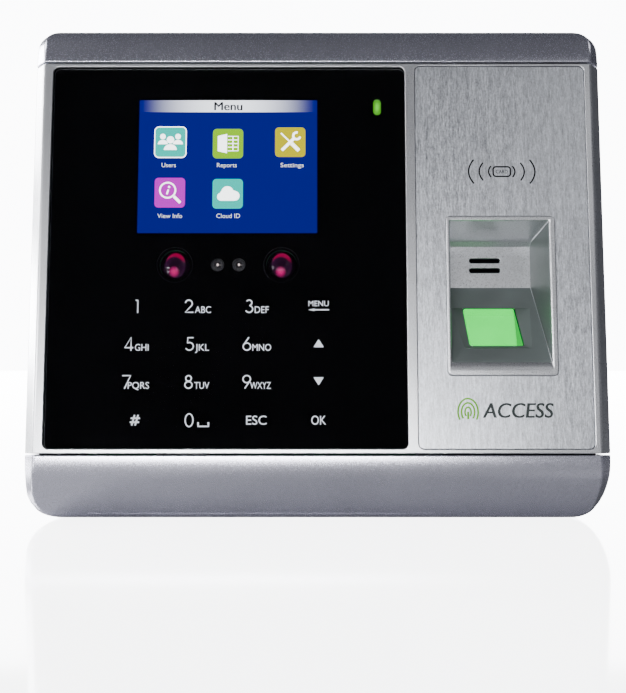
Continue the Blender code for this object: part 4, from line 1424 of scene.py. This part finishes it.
def ceiling_at(depth):
    before = CEILING[0]
    for after in CEILING[1:]:
        if depth <= after[0]:
            share = max(0.0, (depth - before[0]) / (after[0] - before[0]))
            return before[1] + (after[1] - before[1]) * share
        before = after
    return before[1]


def slope_at(depth):
    """Height of the slope at a depth."""
    (y0, z0), (y1, z1) = SLOPE
    return z0 + (depth - y0) * (z1 - z0) / (y1 - y0)


def roll(lip):
    """The arc over the lower edge: its foot's height, and the angle where the slope begins."""
    turn = math.atan2(SLOPE[1][0] - SLOPE[0][0], SLOPE[1][1] - SLOPE[0][1])
    join = WELL.y0 + lip * (1.0 - math.cos(turn))
    return slope_at(join) - lip * math.sin(turn), turn


def floor_at(depth, lip):
    """The well's floor: the slope, rolled over the lower edge with the lip's radius."""
    foot, turn = roll(lip)
    below = depth - WELL.y0
    if below >= lip * (1.0 - math.cos(turn)):
        return slope_at(depth)
    return foot + math.sqrt(max(0.0, lip ** 2 - (lip - max(0.0, below)) ** 2))


def well_cavity():
    """The hollow as rounded rectangles, one behind another."""
    fillet, lip = mm(sizes().well_fillet), mm(sizes().well_lip)
    turn = roll(lip)[1]
    depths = {round(WELL.y0 + below, 4) for _, below in quarter(fillet, 8)}
    depths |= {WELL.y0 + lip * (1.0 - math.cos(turn * step / 12)) for step in range(1, 13)}
    depths |= {8.0, 14.0, CEILING[1][0], WELL_BACK}
    loops = [cavity_loop(WELL.y0 - 2.0, fillet + 0.9, floor_at(WELL.y0, lip) - 0.6)]
    for depth in sorted(depths):
        below = min(depth - WELL.y0, fillet)
        grow = fillet - math.sqrt(max(0.0, fillet ** 2 - (fillet - below) ** 2))
        loops.append(cavity_loop(depth, grow, floor_at(depth, lip)))
    return loft(loops)


def cavity_loop(depth, grow, floor):
    right = WELL_INSIDE[1] - WALL_TAPER * max(0.0, depth) / WELL_BACK
    sides = (WELL_INSIDE[0] - grow, right + grow, floor, ceiling_at(depth) + grow)
    return [(x, depth, z) for x, z in rounded(sides, 0.5 + grow, 6)]


def window_dish():
    """Four facets that fall from the slope to the window, and the hole for the window."""
    half_x, half_y = WINDOW.x1 + GAP, (WINDOW.y1 - WINDOW.y0) / 2 + GAP
    loops = []
    for height in (-9.0, DISH_FOOT, DISH_TOP):
        spread = max(0.0, height - DISH_FOOT) * DISH_SPREAD
        sides = (-half_x - spread, half_x + spread, -half_y - spread, half_y + spread)
        loops.append([(x, y, height) for x, y in rounded(sides, 0.8, 5)])
    return loft(loops)


def build_well():
    sides = rect(WELL)
    fillet = mm(sizes().well_fillet)
    rim = slab(sides, WELL_CORNER, (WELL.y0, RIM_DEPTH), fillet, steps=8)
    x0, x1, z0, z1 = sides
    hull = side_prism(((z1 - GAP, 2.0), (10.6, WELL.y1), (-8.4, WELL.y1), (-33.3, RIM_DEPTH),
                       (z0 + GAP, RIM_DEPTH), (z0 + GAP, 2.0)), x0 + GAP, x1 - GAP)
    well = raw_object("finger_well_liner", rim)
    cuts = [well_cavity(), moved(window_dish(), FACE.inverted() @ SENSOR)]
    for z in SPEAKER_SLOT_ROWS:
        slot = around((SPEAKER_SLOT_X, z), *SPEAKER_SLOT)
        cuts.append(flared(slot, SPEAKER_SLOT[1] / 2 - 0.01, 26.0, 0.22, WELL_BACK))
    carve(well, cuts, [hull])
    settle(well, FACE, silver(), replaces=("finger_well", "sensor_bezel"),
           sharp=14.0)
    darken_well(well)


def darken_well(well):
    """Grey slope and dish, partly their own grey and partly painted shade; grey right wall and black
    walls in the speaker slots as painted shade.
    """
    well.data.materials.append(shared("dish_paint", moulded, "dish_paint", (0.085, 0.10, 0.10),
                                      0.42, 0.3, FACE))
    well.data.materials.append(black_plastic())
    to_face, to_sensor = FACE.inverted(), SENSOR.inverted().to_3x3()
    for polygon in well.data.polygons:
        x, y, z = to_face @ polygon.center
        tilt = (to_sensor @ polygon.normal).normalized().z
        inside = WELL.z0 < z < WELL.z1 and y > WELL.y0 + ROLL_EDGE
        # Slope and dish take the grey finish, partly painted shade; on the right wall the grey is
        # painted shade
        if inside and (tilt > SLOPE_TILT or polygon.normal.x < -0.9):
            polygon.material_index = 1
        # Black walls inside the speaker slots: painted shade
        elif y > WELL_BACK + 0.1 and abs(x - SPEAKER_SLOT_X) < SPEAKER_SLOT[0] and abs(z) < 5.0:
            polygon.material_index = 2


def build_speaker_cloth():
    """Black cloth behind the speaker slots."""
    x, z = SPEAKER_SLOT_X, sum(SPEAKER_SLOT_ROWS) / 2
    cloth = slab(around((x, z), 14.0, 8.0), 1.0, (WELL.y1 + 0.04, WELL.y1 + 0.16))
    piece("speaker_cloth", cloth, FACE, black_print(), weighted=False)


def build_window():
    half_y = (WINDOW.y1 - WINDOW.y0) / 2
    thickness = WINDOW.z1 - WINDOW.z0
    pane = slab((WINDOW.x0, WINDOW.x1, -half_y, half_y), 0.7, (0.0, thickness), 0.3, 0.1)
    light = window_light(PANE, tuple(colours().window))
    piece("finger_window_pane", pane, PANE, light,
          replaces=("sensor_window",))


# ---------------------------------------------------------------- back: housing, wall plate

BACK = REAR.y1
BACK_WALL = 2.4
REAR_CORNER = 9.5
HANGER_THICKNESS = 1.5
# The folded tab that takes the lock screw: half its width, and its depth
TAB = (13.0, 14.0)
BAY = (-30.0, 30.0, -35.0, -7.0)
CABLE_HOLE = (-28.0, 28.0, -33.0, -9.0)
HOOK_X = 40.0
HOOK_ROWS = (-55.0, 38.0)
# Width, height and thickness of a hook
HOOK = (10.0, 6.0, 1.5)
LIFT = 8.0
WALL_SCREWS = (52.0, 58.0)
WALL_SCREW_RADIUS = 2.3
UPRIGHT_HOLE = 1.8
PLUNGER_HOLE = 2.3
# The thick block in the floor of the housing that the sockets open through
SOCKET_BLOCK = ((-19.0, 19.0), (-20.5, BACK - 1.0))


def seen_from_below(box):
    """The middle of a box across and in depth."""
    return ((box.x0 + box.x1) / 2, (box.y0 + box.y1) / 2)


def upright_hole(radius, box, low, high):
    """A cutter for an upright round hole in line with a piece."""
    return turned(((radius, low), (radius, high)), seen_from_below(box), 24, "Z")


def countersunk(x, z, radius, head):
    """A screw hole with a round seat for its head."""
    return turned(((radius, -7.0), (radius, BACK - 1.4), (head, BACK - 1.4), (head, BACK - 0.3),
                   (head + 0.3, BACK), (head + 1.3, BACK + 1.0)), (x, z), 32)


def build_rear_housing():
    low, high, half = REAR.z0, REAR.z1, REAR.x1
    back = mm(sizes().rear_fillet)
    shell = raw_object("rear_shell", slab((-half, half, low, high), REAR_CORNER, (-45.0, BACK),
                                          0.0, back, steps=14))
    inside = slab((WALL - half, half - WALL, low + WALL, high - WALL), REAR_CORNER - WALL,
                  (-60.0, BACK - BACK_WALL), steps=10)
    carve(shell, [inside])
    parting = moved(block((-FAR, FAR), (-80.0, PARTING + GAP), (-FAR, FAR)),
                    WORLD.inverted() @ FACE)
    notch = block((-TAB[0] - 3.0, TAB[0] + 3.0), (-TAB[1] - 4.0, 1.0),
                  (low - 2.0, HANGER.z0 + 1.8))
    cuts = [parting, notch, upright_hole(UPRIGHT_HOLE, LOCK_SCREW, low - 2.0, low + 16.0),
            block(BAY[:2], (-7.0, 1.0), BAY[2:]),
            turned(((PLUNGER_HOLE, -7.0), (PLUNGER_HOLE, 1.0)), middle(PLUNGER), 32),
            upright_hole(UPRIGHT_HOLE, RESET, low - 2.0, low + 3.0)]
    reach = HOOK[0] / 2 + GAP
    for x in (-HOOK_X, HOOK_X):
        for z in HOOK_ROWS:
            cuts.append(block((x - reach, x + reach), (-7.0, 1.0),
                              (z - LIFT - 2 * GAP, z + HOOK[2] + GAP)))
    cuts += [countersunk(*middle(screw), SCREW_BORE, 3.1) for screw in SCREWS]
    for node in ("usb_port", "network_jack", "power_jack"):
        box = measured(node, WORLD)
        cuts.append(block((box.x0 - GAP, box.x1 + GAP), (box.y0 - GAP, box.y1 + GAP),
                          (low - 2.0, low + 3.0)))
    carve(shell, cuts, [block(*SOCKET_BLOCK, (low + 0.2, low + 14.0))])
    settle(shell, WORLD, rear_plastic(), replaces=("rear_housing",))


def hook(x, z):
    """A hook that reaches through the back of the housing and turns up behind it."""
    width, height, thick = HOOK
    root, toe = -HANGER_THICKNESS / 2, BACK - BACK_WALL - GAP
    return side_prism(((z, root), (z, toe - thick), (z + height, toe - thick), (z + height, toe),
                       (z + thick, toe), (z + thick, root)), x - width / 2, x + width / 2)


def build_wall_plate():
    thick = HANGER_THICKNESS
    plate = raw_object("hanger_plate", slab(rect(HANGER), 6.0, (-thick, 0.0), 0.25, 0.15, steps=10))
    low = HANGER.z0
    joins = [side_prism(((low, -TAB[1]), (low + thick, -TAB[1]), (low + thick, -thick / 2),
                         (low, -thick / 2)), -TAB[0], TAB[0])]
    cuts = [upright_hole(UPRIGHT_HOLE, LOCK_SCREW, low - 2.0, low + 4.0),
            slab(CABLE_HOLE, 2.0, (-4.0, 2.0))]
    x, z = middle(PLUNGER)
    cuts.append(slab((x - 2.6, x + 2.6, z - 2.6, z + LIFT + 2.6), 1.0, (-4.0, 2.0)))
    radius = WALL_SCREW_RADIUS
    eased_hole = ((radius + 0.5, -thick - 1.0), (radius + 0.3, -thick), (radius, -thick + 0.3),
                  (radius, 1.0))
    for side in (-1, 1):
        for level in (-1, 1):
            hole = (side * WALL_SCREWS[0], level * WALL_SCREWS[1])
            cuts.append(turned(eased_hole, hole, 32))
        for z in HOOK_ROWS:
            joins.append(hook(side * HOOK_X, z))
    carve(plate, cuts, joins)
    plate_steel = shared("plate_steel", rolled_metal, "plate_steel", (0.50, 0.51, 0.53), 0.34)
    settle(plate, WORLD, plate_steel, "wall_plate", ("wall_plate",))


# ---------------------------------------------------------------- small repeated pieces

GRID_INPUTS = (("Source", "NodeSocketObject"), ("Columns", "NodeSocketInt"),
               ("Rows", "NodeSocketInt"), ("Start", "NodeSocketVector"),
               ("Column Step", "NodeSocketVector"), ("Row Step", "NodeSocketVector"),
               ("Finish", "NodeSocketMaterial"))


def grid_tree():
    """Node tree that sets copies of a source object out in columns and rows."""
    tree = bpy.data.node_groups.get("set_out_in_rows")
    if tree:
        return tree
    tree = bpy.data.node_groups.new("set_out_in_rows", "GeometryNodeTree")
    tree.interface.new_socket("Geometry", in_out="INPUT", socket_type="NodeSocketGeometry")
    for name, kind in GRID_INPUTS:
        tree.interface.new_socket(name, in_out="INPUT", socket_type=kind)
    tree.interface.new_socket("Geometry", in_out="OUTPUT", socket_type="NodeSocketGeometry")
    given = tree.nodes.new("NodeGroupInput").outputs
    columns = add_node(tree, "GeometryNodeMeshLine", {
        "Count": given["Columns"], "Start Location": given["Start"],
        "Offset": given["Column Step"]}, mode="OFFSET")
    rows = add_node(tree, "GeometryNodeMeshLine", {
        "Count": given["Rows"], "Offset": given["Row Step"]}, mode="OFFSET")
    points = add_node(tree, "GeometryNodeInstanceOnPoints", {
        "Points": columns.outputs["Mesh"], "Instance": rows.outputs["Mesh"]})
    flat_points = add_node(tree, "GeometryNodeRealizeInstances", {
        "Geometry": points.outputs["Instances"]})
    source = add_node(tree, "GeometryNodeObjectInfo", {"Object": given["Source"]})
    copies = add_node(tree, "GeometryNodeInstanceOnPoints", {
        "Points": flat_points.outputs["Geometry"], "Instance": source.outputs["Geometry"]})
    real = add_node(tree, "GeometryNodeRealizeInstances", {
        "Geometry": copies.outputs["Instances"]})
    coated = add_node(tree, "GeometryNodeSetMaterial", {
        "Geometry": real.outputs["Geometry"], "Material": given["Finish"]})
    result = tree.nodes.new("NodeGroupOutput")
    tree.links.new(coated.outputs["Geometry"], result.inputs["Geometry"])
    return tree


def set_out(name, source, columns, rows, start, column_step, row_step, material, replaces=()):
    """Copies of a small mesh in columns and rows, as one plain piece in millimetres."""
    host = raw_object(name, bmesh.new())
    sample = raw_object(name + "_sample", source)
    modifier = host.modifiers.new("rows", "NODES")
    tree = grid_tree()
    modifier.node_group = tree
    sockets = {item.name: item.identifier for item in tree.interface.items_tree
               if item.in_out == "INPUT"}
    values = {"Source": sample, "Columns": columns, "Rows": rows, "Start": start,
              "Column Step": column_step, "Row Step": row_step, "Finish": material}
    for key, value in values.items():
        modifier[sockets[key]] = value
    evaluated(host)
    discard(sample)
    if not host.data.polygons:
        raise RuntimeError(f"{name} came out empty")
    settle(host, WORLD, material, replaces=replaces)


def screw_shape():
    """A cross-recessed screw that points forwards, its head at the back."""
    tall, head = SCREWS[0].y1 - SCREWS[0].y0, 2.7
    profile = [(0.7, 0.0), (1.25, 1.0)]
    top = tall - 1.1
    turns = 14
    for step in range(turns):
        along = 1.0 + (top - 1.2) * step / turns
        profile += [(1.05, along + 0.1), (1.3, along + 0.35), (1.05, along + 0.62)]
    profile += [(1.3, top), (head, top), (head, top + 0.55), (head - 0.25, top + 0.85),
                (head - 0.9, tall)]
    screw = raw_object("screw", turned(profile, (0.0, 0.0), 28))
    arm, width = 1.5, 0.28
    cross = [block((-arm, arm), (tall - 0.75, tall + 1.0), (-width, width)),
             block((-width, width), (tall - 0.75, tall + 1.0), (-arm, arm))]
    carve(screw, cross)
    bm = bmesh.new()
    bm.from_mesh(screw.data)
    discard(screw)
    return bm


def build_screws():
    x0, z0 = middle(SCREWS[0])
    x1, z1 = middle(SCREWS[-1])
    set_out("housing_screws", screw_shape(), 2, 2, (x0, SCREWS[0].y0, z0), (x1 - x0, 0.0, 0.0),
            (0.0, 0.0, z1 - z0), steel(), replaces=SCREW_NODES)


def build_lock_screw():
    """A pan-headed screw with a six-sided recess, its head below."""
    box, head = LOCK_SCREW, 3.2
    profile = [(2.5, box.z0), (2.95, box.z0 + 0.12), (head, box.z0 + 0.5), (head, box.z0 + 2.0),
               (1.5, box.z0 + 2.0)]
    for step in range(12):
        along = box.z0 + 2.4 + 0.8 * step
        profile += [(1.2, along), (1.5, along + 0.3), (1.2, along + 0.6)]
    profile += [(1.4, box.z1 - 1.0), (0.9, box.z1)]
    centre = seen_from_below(box)
    recess = turned(((1.25, box.z0 - 1.0), (1.25, box.z0 + 1.2)), centre, 6, "Z")
    piece("lock_screw_turned", turned(profile, centre, 32, "Z"), WORLD, steel(), "lock_screw",
          ("lock_screw",), cuts=[recess])


def build_tamper_pin():
    """A flanged pin with a rounded tip at the back."""
    box = PLUNGER
    profile = [(2.0, box.y0), (3.2, box.y0 + 0.1), (3.5, box.y0 + 0.6), (3.5, box.y1 - 4.2),
               (2.0, box.y1 - 4.2), (2.0, box.y1 - 0.5)]
    profile += [(1.5 + 0.5 * math.cos(a), box.y1 - 0.5 + 0.5 * math.sin(a)) for a in
                (math.radians(15 * step) for step in range(1, 7))]
    piece("tamper_plunger_pin", turned(profile, middle(box), 36), WORLD, black_plastic(),
          "tamper_plunger", ("tamper_plunger",))


CONTACT_PITCH = 1.02


def contact_spring():
    """One bent wire contact, drawn as a flat strip along y and z."""
    line = eased([Vector((0.0, 0.0)), Vector((0.4, 4.0)), Vector((3.4, 9.0)), Vector((3.6, 11.5))],
                 1.2, 3)
    wide = 0.22
    loops = []
    for index, point in enumerate(line):
        before, after = line[max(index - 1, 0)], line[min(index + 1, len(line) - 1)]
        along = (after - before).normalized()
        side = Vector((along.y, -along.x)) * wide / 2
        loops.append([(-wide, point.x - side.x, point.y - side.y),
                      (wide, point.x - side.x, point.y - side.y),
                      (wide, point.x + side.x, point.y + side.y),
                      (-wide, point.x + side.x, point.y + side.y)])
    return loft(loops)


def build_sockets():
    jack = measured("network_jack", WORLD)
    count = sizes().contacts
    start = ((jack.x0 + jack.x1) / 2 - CONTACT_PITCH * (count - 1) / 2, jack.y0 + 2.4, jack.z0 + 1.0)
    set_out("network_contacts", contact_spring(), count, 1, start, (CONTACT_PITCH, 0.0, 0.0),
            (0.0, 0.0, 1.0), gold())
    port = measured("usb_port", WORLD)
    tongue = block((port.x0 + 1.6, port.x1 - 1.6), (port.y0 + 2.1, port.y0 + 3.6),
                   (port.z0 + 0.9, port.z0 + 9.2))
    bmesh.ops.bevel(tongue, geom=tongue.edges, offset=0.2, segments=3, affect="EDGES")
    piece("usb_tongue", tongue, WORLD, black_plastic())
    for node in ("usb_port", "network_jack"):
        dress(node, shared("socket_shield", rolled_metal, "socket_shield", (0.62, 0.62, 0.63), 0.28))
    dress("power_jack", black_plastic())
    clamp = block((-0.9, 0.9), (0.0, 1.1), (-1.2, 1.2))
    bmesh.ops.bevel(clamp, geom=clamp.edges, offset=0.25, segments=3, affect="EDGES")
    ways = sizes().terminals
    for side in ("left", "right"):
        header = measured(f"wiring_header_{side}", WORLD)
        step = (header.x1 - header.x0 - 4.0) / (ways - 1)
        start = (header.x0 + 2.0, header.y0 + 1.45, (header.z0 + header.z1) / 2)
        set_out(f"wiring_clamps_{side}", merged([clamp.copy()]), ways, 1, start,
                (step, 0.0, 0.0), (0.0, 0.0, 1.0), gold())
    clamp.free()


# ---------------------------------------------------------------- inner pieces

INNER_FINISHES = {
    "board": ("front_board", "touch_board", "main_board", "sensor_board", "card_antenna"),
    "chip": ("processor", "memory_chip", "door_relay", "buzzer", "coin_cell_holder",
             "sensor_body", "speaker_basket", "speaker_cone", "reset_switch"),
    "metal": ("coin_cell", "display_backlight", "speaker_magnet", "tamper_switch"),
    "film": ("display_cable",),
    "clear": ("wiring_header_left", "wiring_header_right", "key_light_guide", "sensor_lens"),
    "lamp": ("sensor_lamp_upper", "sensor_lamp_lower", "status_led"),
    "cell": ("display_cell",),
}


def inner_finish(kind):
    if kind == "board":
        return shared("circuit_board", board_green)
    if kind == "chip":
        return black_plastic()
    if kind == "metal":
        return steel()
    if kind == "film":
        return shared("amber_film", plain_detail, "amber_film", (0.45, 0.20, 0.03), 0.35)
    if kind == "clear":
        return shared("frosted", plain_detail, "frosted", (0.62, 0.66, 0.68), 0.3)
    if kind == "lamp":
        return shared("lamp_green", lit_print, "lamp_green", (0.05, 0.9, 0.10))
    return shared("cell_back", plain_detail, "cell_back", (0.01, 0.01, 0.02), 0.3)


def dress_inner_pieces():
    for kind, nodes in INNER_FINISHES.items():
        for node in nodes:
            dress(node, inner_finish(kind))


# ---------------------------------------------------------------- stage

# Metres, but for the lens and the film, which are in millimetres
CAMERA_PLACE = (-0.00147, -0.2964, -0.0222)
CAMERA_LENS = 43.25
FILM_WIDTH = 36.0
FLOOR_DROP = 0.0003
FLOOR_REACH = 6.0
BACKDROP_PLACE = 1.6
BACKDROP_REACH = 0.95
BACKDROP_TOP = 0.6
PALE = (0.97, 0.98, 1.0, 1.0)
PALE_STRENGTH = 12.0
FLOOR_STRENGTH = 6.0
DIM_STRENGTH = 0.06

# Soft lights a metre away: name, degrees round from the front, degrees up, width, height
# (metres) and power (watts)
LIGHTS = (
    ("strip_front_left", -15, -3, 0.25, 0.04, 4.8),
    ("strip_front", 0, -3, 0.25, 0.04, 4.1),
    ("front_left", -45, 4, 0.30, 0.14, 5.0),
    ("side_left_low", -90, 4, 0.30, 0.14, 8.3),
    ("side_left", -90, 24, 0.30, 0.30, 5.8),
    ("side_left_high", -90, 48, 0.30, 0.30, 3.8),
    ("rear_left_low", -115, 4, 0.30, 0.14, 6.5),
    ("rear_left", -115, 24, 0.30, 0.30, 9.4),
    ("side_right_high", 90, 48, 0.30, 0.30, 0.9),
    ("front_right", 28, 24, 0.30, 0.30, 0.3),
)


def pale_world():
    """Pale to the camera, dim to everything else, so that the glass stays black."""
    world = bpy.data.worlds.new("studio")
    world.use_nodes = True
    tree = world.node_tree
    tree.nodes.clear()
    path = tree.nodes.new("ShaderNodeLightPath")
    pale, dim = (tree.nodes.new("ShaderNodeBackground") for _ in range(2))
    pale.inputs["Color"].default_value = (0.96, 0.97, 1.0, 1.0)
    pale.inputs["Strength"].default_value = PALE_STRENGTH
    dim.inputs["Color"].default_value = (0.75, 0.80, 1.0, 1.0)
    dim.inputs["Strength"].default_value = DIM_STRENGTH
    mix = tree.nodes.new("ShaderNodeMixShader")
    output = tree.nodes.new("ShaderNodeOutputWorld")
    tree.links.new(path.outputs["Is Camera Ray"], mix.inputs["Fac"])
    tree.links.new(dim.outputs["Background"], mix.inputs[1])
    tree.links.new(pale.outputs["Background"], mix.inputs[2])
    tree.links.new(mix.outputs["Shader"], output.inputs["Surface"])
    bpy.context.scene.world = world


def floor_material():
    """Pale gloss that looks white from the camera and gives a faint mirror image."""
    recipe = Recipe("floor", tuple(colours().floor), 0.08, 0.30)
    slow = recipe.noise(recipe.along(WORLD, (180.0, 180.0, 180.0)), 2.0)
    recipe.feed("Roughness", recipe.spread(slow, 0.3, 0.7, 0.07, 0.10))
    path = recipe.node("LightPath").outputs["Is Camera Ray"]
    recipe.set("Emission Color", PALE)
    recipe.feed("Emission Strength", recipe.maths("MULTIPLY", path, FLOOR_STRENGTH))
    return recipe.material


def backdrop_material():
    """An even white glow."""
    recipe = Recipe("backdrop", (0.0, 0.0, 0.0), 1.0)
    recipe.set("Emission Color", PALE)
    recipe.set("Emission Strength", PALE_STRENGTH)
    return recipe.material


def staged(name, corners, material):
    """A plain flat piece of the stage, in metres."""
    bm = bmesh.new()
    bm.faces.new([bm.verts.new(corner) for corner in corners])
    obj = raw_object(name, bm)
    obj.data.materials.append(material)
    return obj


def soft_light(name, round_by, up_by, width, height, power):
    """A soft rectangle of light a metre from the middle, turned to face it."""
    light = bpy.data.lights.new(name, "AREA")
    light.shape = "RECTANGLE"
    light.size, light.size_y = width, height
    light.energy = power
    obj = bpy.data.objects.new(name, light)
    turn, rise = math.radians(round_by), math.radians(up_by)
    place = Vector((math.sin(turn) * math.cos(rise), -math.cos(turn) * math.cos(rise),
                    math.sin(rise)))
    obj.location = place
    obj.rotation_euler = (-place).to_track_quat("-Z", "Y").to_euler()
    bpy.context.scene.collection.objects.link(obj)


def build_stage():
    scene = bpy.context.scene
    camera = bpy.data.objects.new("camera", bpy.data.cameras.new("camera"))
    camera.data.sensor_width = FILM_WIDTH
    camera.data.lens = CAMERA_LENS
    camera.data.clip_start, camera.data.clip_end = 0.01, 50.0
    camera.location = CAMERA_PLACE
    camera.rotation_euler = (math.pi / 2, 0.0, 0.0)
    scene.collection.objects.link(camera)
    scene.camera = camera
    low, back = CAD_BOX[0].z - FLOOR_DROP, BACKDROP_PLACE
    reach, half = FLOOR_REACH, BACKDROP_REACH
    staged("floor", ((-reach, -reach, low), (reach, -reach, low), (reach, back, low),
                     (-reach, back, low)), floor_material())
    backdrop = staged("backdrop", ((-half, back, low), (half, back, low),
                                   (half, back, BACKDROP_TOP), (-half, back, BACKDROP_TOP)),
                      backdrop_material())
    backdrop.visible_diffuse = False
    pale_world()
    for light in LIGHTS:
        soft_light(*light)


# ---------------------------------------------------------------- add-on

OPERATORS = []


def listed(kind):
    """Keep an operator in the order in which the pieces are built."""
    OPERATORS.append(kind)
    return kind


@listed
class TERMINAL_OT_front_frame(bpy.types.Operator):
    """Build the silver frame round both front panels"""
    bl_idname = "terminal.front_frame"
    bl_label = "Front Frame"

    def execute(self, context):
        build_front_frame()
        return {"FINISHED"}


@listed
class TERMINAL_OT_caps(bpy.types.Operator):
    """Build the top cap and the chin"""
    bl_idname = "terminal.caps"
    bl_label = "Top Cap and Chin"

    def execute(self, context):
        build_cap("upper_cap", "top_cap", TOP_ARCS, TOP_CORNERS, 1)
        build_cap("chin", "bottom_cap", CHIN_ARCS, CHIN_CORNERS, -1)
        return {"FINISHED"}


@listed
class TERMINAL_OT_cover(bpy.types.Operator):
    """Build the cover glass and the black layer printed behind it"""
    bl_idname = "terminal.cover"
    bl_label = "Cover Glass"

    def execute(self, context):
        build_cover()
        return {"FINISHED"}


@listed
class TERMINAL_OT_display(bpy.types.Operator):
    """Build the lit picture on the display"""
    bl_idname = "terminal.display"
    bl_label = "Display"

    def execute(self, context):
        build_display()
        return {"FINISHED"}


@listed
class TERMINAL_OT_keypad(bpy.types.Operator):
    """Build the lit legends of the touch keypad"""
    bl_idname = "terminal.keypad"
    bl_label = "Keypad Legends"

    def execute(self, context):
        build_keypad()
        return {"FINISHED"}


@listed
class TERMINAL_OT_infrared(bpy.types.Operator):
    """Build the infrared emitters and receivers"""
    bl_idname = "terminal.infrared"
    bl_label = "Infrared Windows"

    def execute(self, context):
        build_infrared()
        return {"FINISHED"}


@listed
class TERMINAL_OT_status_light(bpy.types.Operator):
    """Build the slot-shaped status light"""
    bl_idname = "terminal.status_light"
    bl_label = "Status Light"

    def execute(self, context):
        build_status_light()
        return {"FINISHED"}


@listed
class TERMINAL_OT_plate(bpy.types.Operator):
    """Build the brushed plate with its card mark and badge"""
    bl_idname = "terminal.plate"
    bl_label = "Brushed Plate"

    def execute(self, context):
        build_plate()
        return {"FINISHED"}


@listed
class TERMINAL_OT_well(bpy.types.Operator):
    """Build the finger well with its rim, slots and sloping floor"""
    bl_idname = "terminal.well"
    bl_label = "Finger Well"

    def execute(self, context):
        build_well()
        build_speaker_cloth()
        return {"FINISHED"}


@listed
class TERMINAL_OT_window(bpy.types.Operator):
    """Build the lit finger window"""
    bl_idname = "terminal.window"
    bl_label = "Finger Window"

    def execute(self, context):
        build_window()
        return {"FINISHED"}


@listed
class TERMINAL_OT_rear_housing(bpy.types.Operator):
    """Build the wedge-shaped rear housing"""
    bl_idname = "terminal.rear_housing"
    bl_label = "Rear Housing"

    def execute(self, context):
        build_rear_housing()
        return {"FINISHED"}


@listed
class TERMINAL_OT_wall_plate(bpy.types.Operator):
    """Build the wall plate with its hooks and holes"""
    bl_idname = "terminal.wall_plate"
    bl_label = "Wall Plate"

    def execute(self, context):
        build_wall_plate()
        return {"FINISHED"}


@listed
class TERMINAL_OT_screws(bpy.types.Operator):
    """Build the housing screws, the lock screw, the tamper pin and the reset button"""
    bl_idname = "terminal.screws"
    bl_label = "Screws and Pins"

    def execute(self, context):
        build_screws()
        build_lock_screw()
        build_tamper_pin()
        dress("reset_button", black_plastic())
        return {"FINISHED"}


@listed
class TERMINAL_OT_sockets(bpy.types.Operator):
    """Build the contacts of the sockets and wiring headers"""
    bl_idname = "terminal.sockets"
    bl_label = "Sockets"

    def execute(self, context):
        build_sockets()
        return {"FINISHED"}


@listed
class TERMINAL_OT_inner(bpy.types.Operator):
    """Give the boards and other inner pieces their finishes"""
    bl_idname = "terminal.inner"
    bl_label = "Inner Pieces"

    def execute(self, context):
        dress_inner_pieces()
        return {"FINISHED"}


@listed
class TERMINAL_OT_stage(bpy.types.Operator):
    """Set the floor, the lights and the camera"""
    bl_idname = "terminal.stage"
    bl_label = "Stage"

    def execute(self, context):
        build_stage()
        return {"FINISHED"}


class TERMINAL_PT_panel(bpy.types.Panel):
    """Sizes, colours and building steps of the terminal"""
    bl_label = "Fingerprint Scanner Terminal"
    bl_idname = "TERMINAL_PT_panel"
    bl_space_type = "VIEW_3D"
    bl_region_type = "UI"
    bl_category = "Terminal"

    def draw(self, context):
        layout = self.layout
        for title, group in (("Sizes", context.scene.terminal_sizes),
                             ("Colours", context.scene.terminal_colours)):
            box = layout.box()
            box.label(text=title)
            for name in group.bl_rna.properties.keys():
                if name not in {"rna_type", "name"}:
                    box.prop(group, name)
        for kind in OPERATORS:
            layout.operator(kind.bl_idname)


def register():
    for kind in (TerminalSizes, TerminalColours, *OPERATORS, TERMINAL_PT_panel):
        bpy.utils.register_class(kind)
    bpy.types.Scene.terminal_sizes = PointerProperty(type=TerminalSizes)
    bpy.types.Scene.terminal_colours = PointerProperty(type=TerminalColours)


def unregister():
    del bpy.types.Scene.terminal_colours
    del bpy.types.Scene.terminal_sizes
    for kind in (TERMINAL_PT_panel, *reversed(OPERATORS), TerminalColours, TerminalSizes):
        bpy.utils.unregister_class(kind)


def main():
    register()
    for kind in OPERATORS:
        group, name = kind.bl_idname.split(".")
        getattr(getattr(bpy.ops, group), name)()


if __name__ == "__main__":
    main()
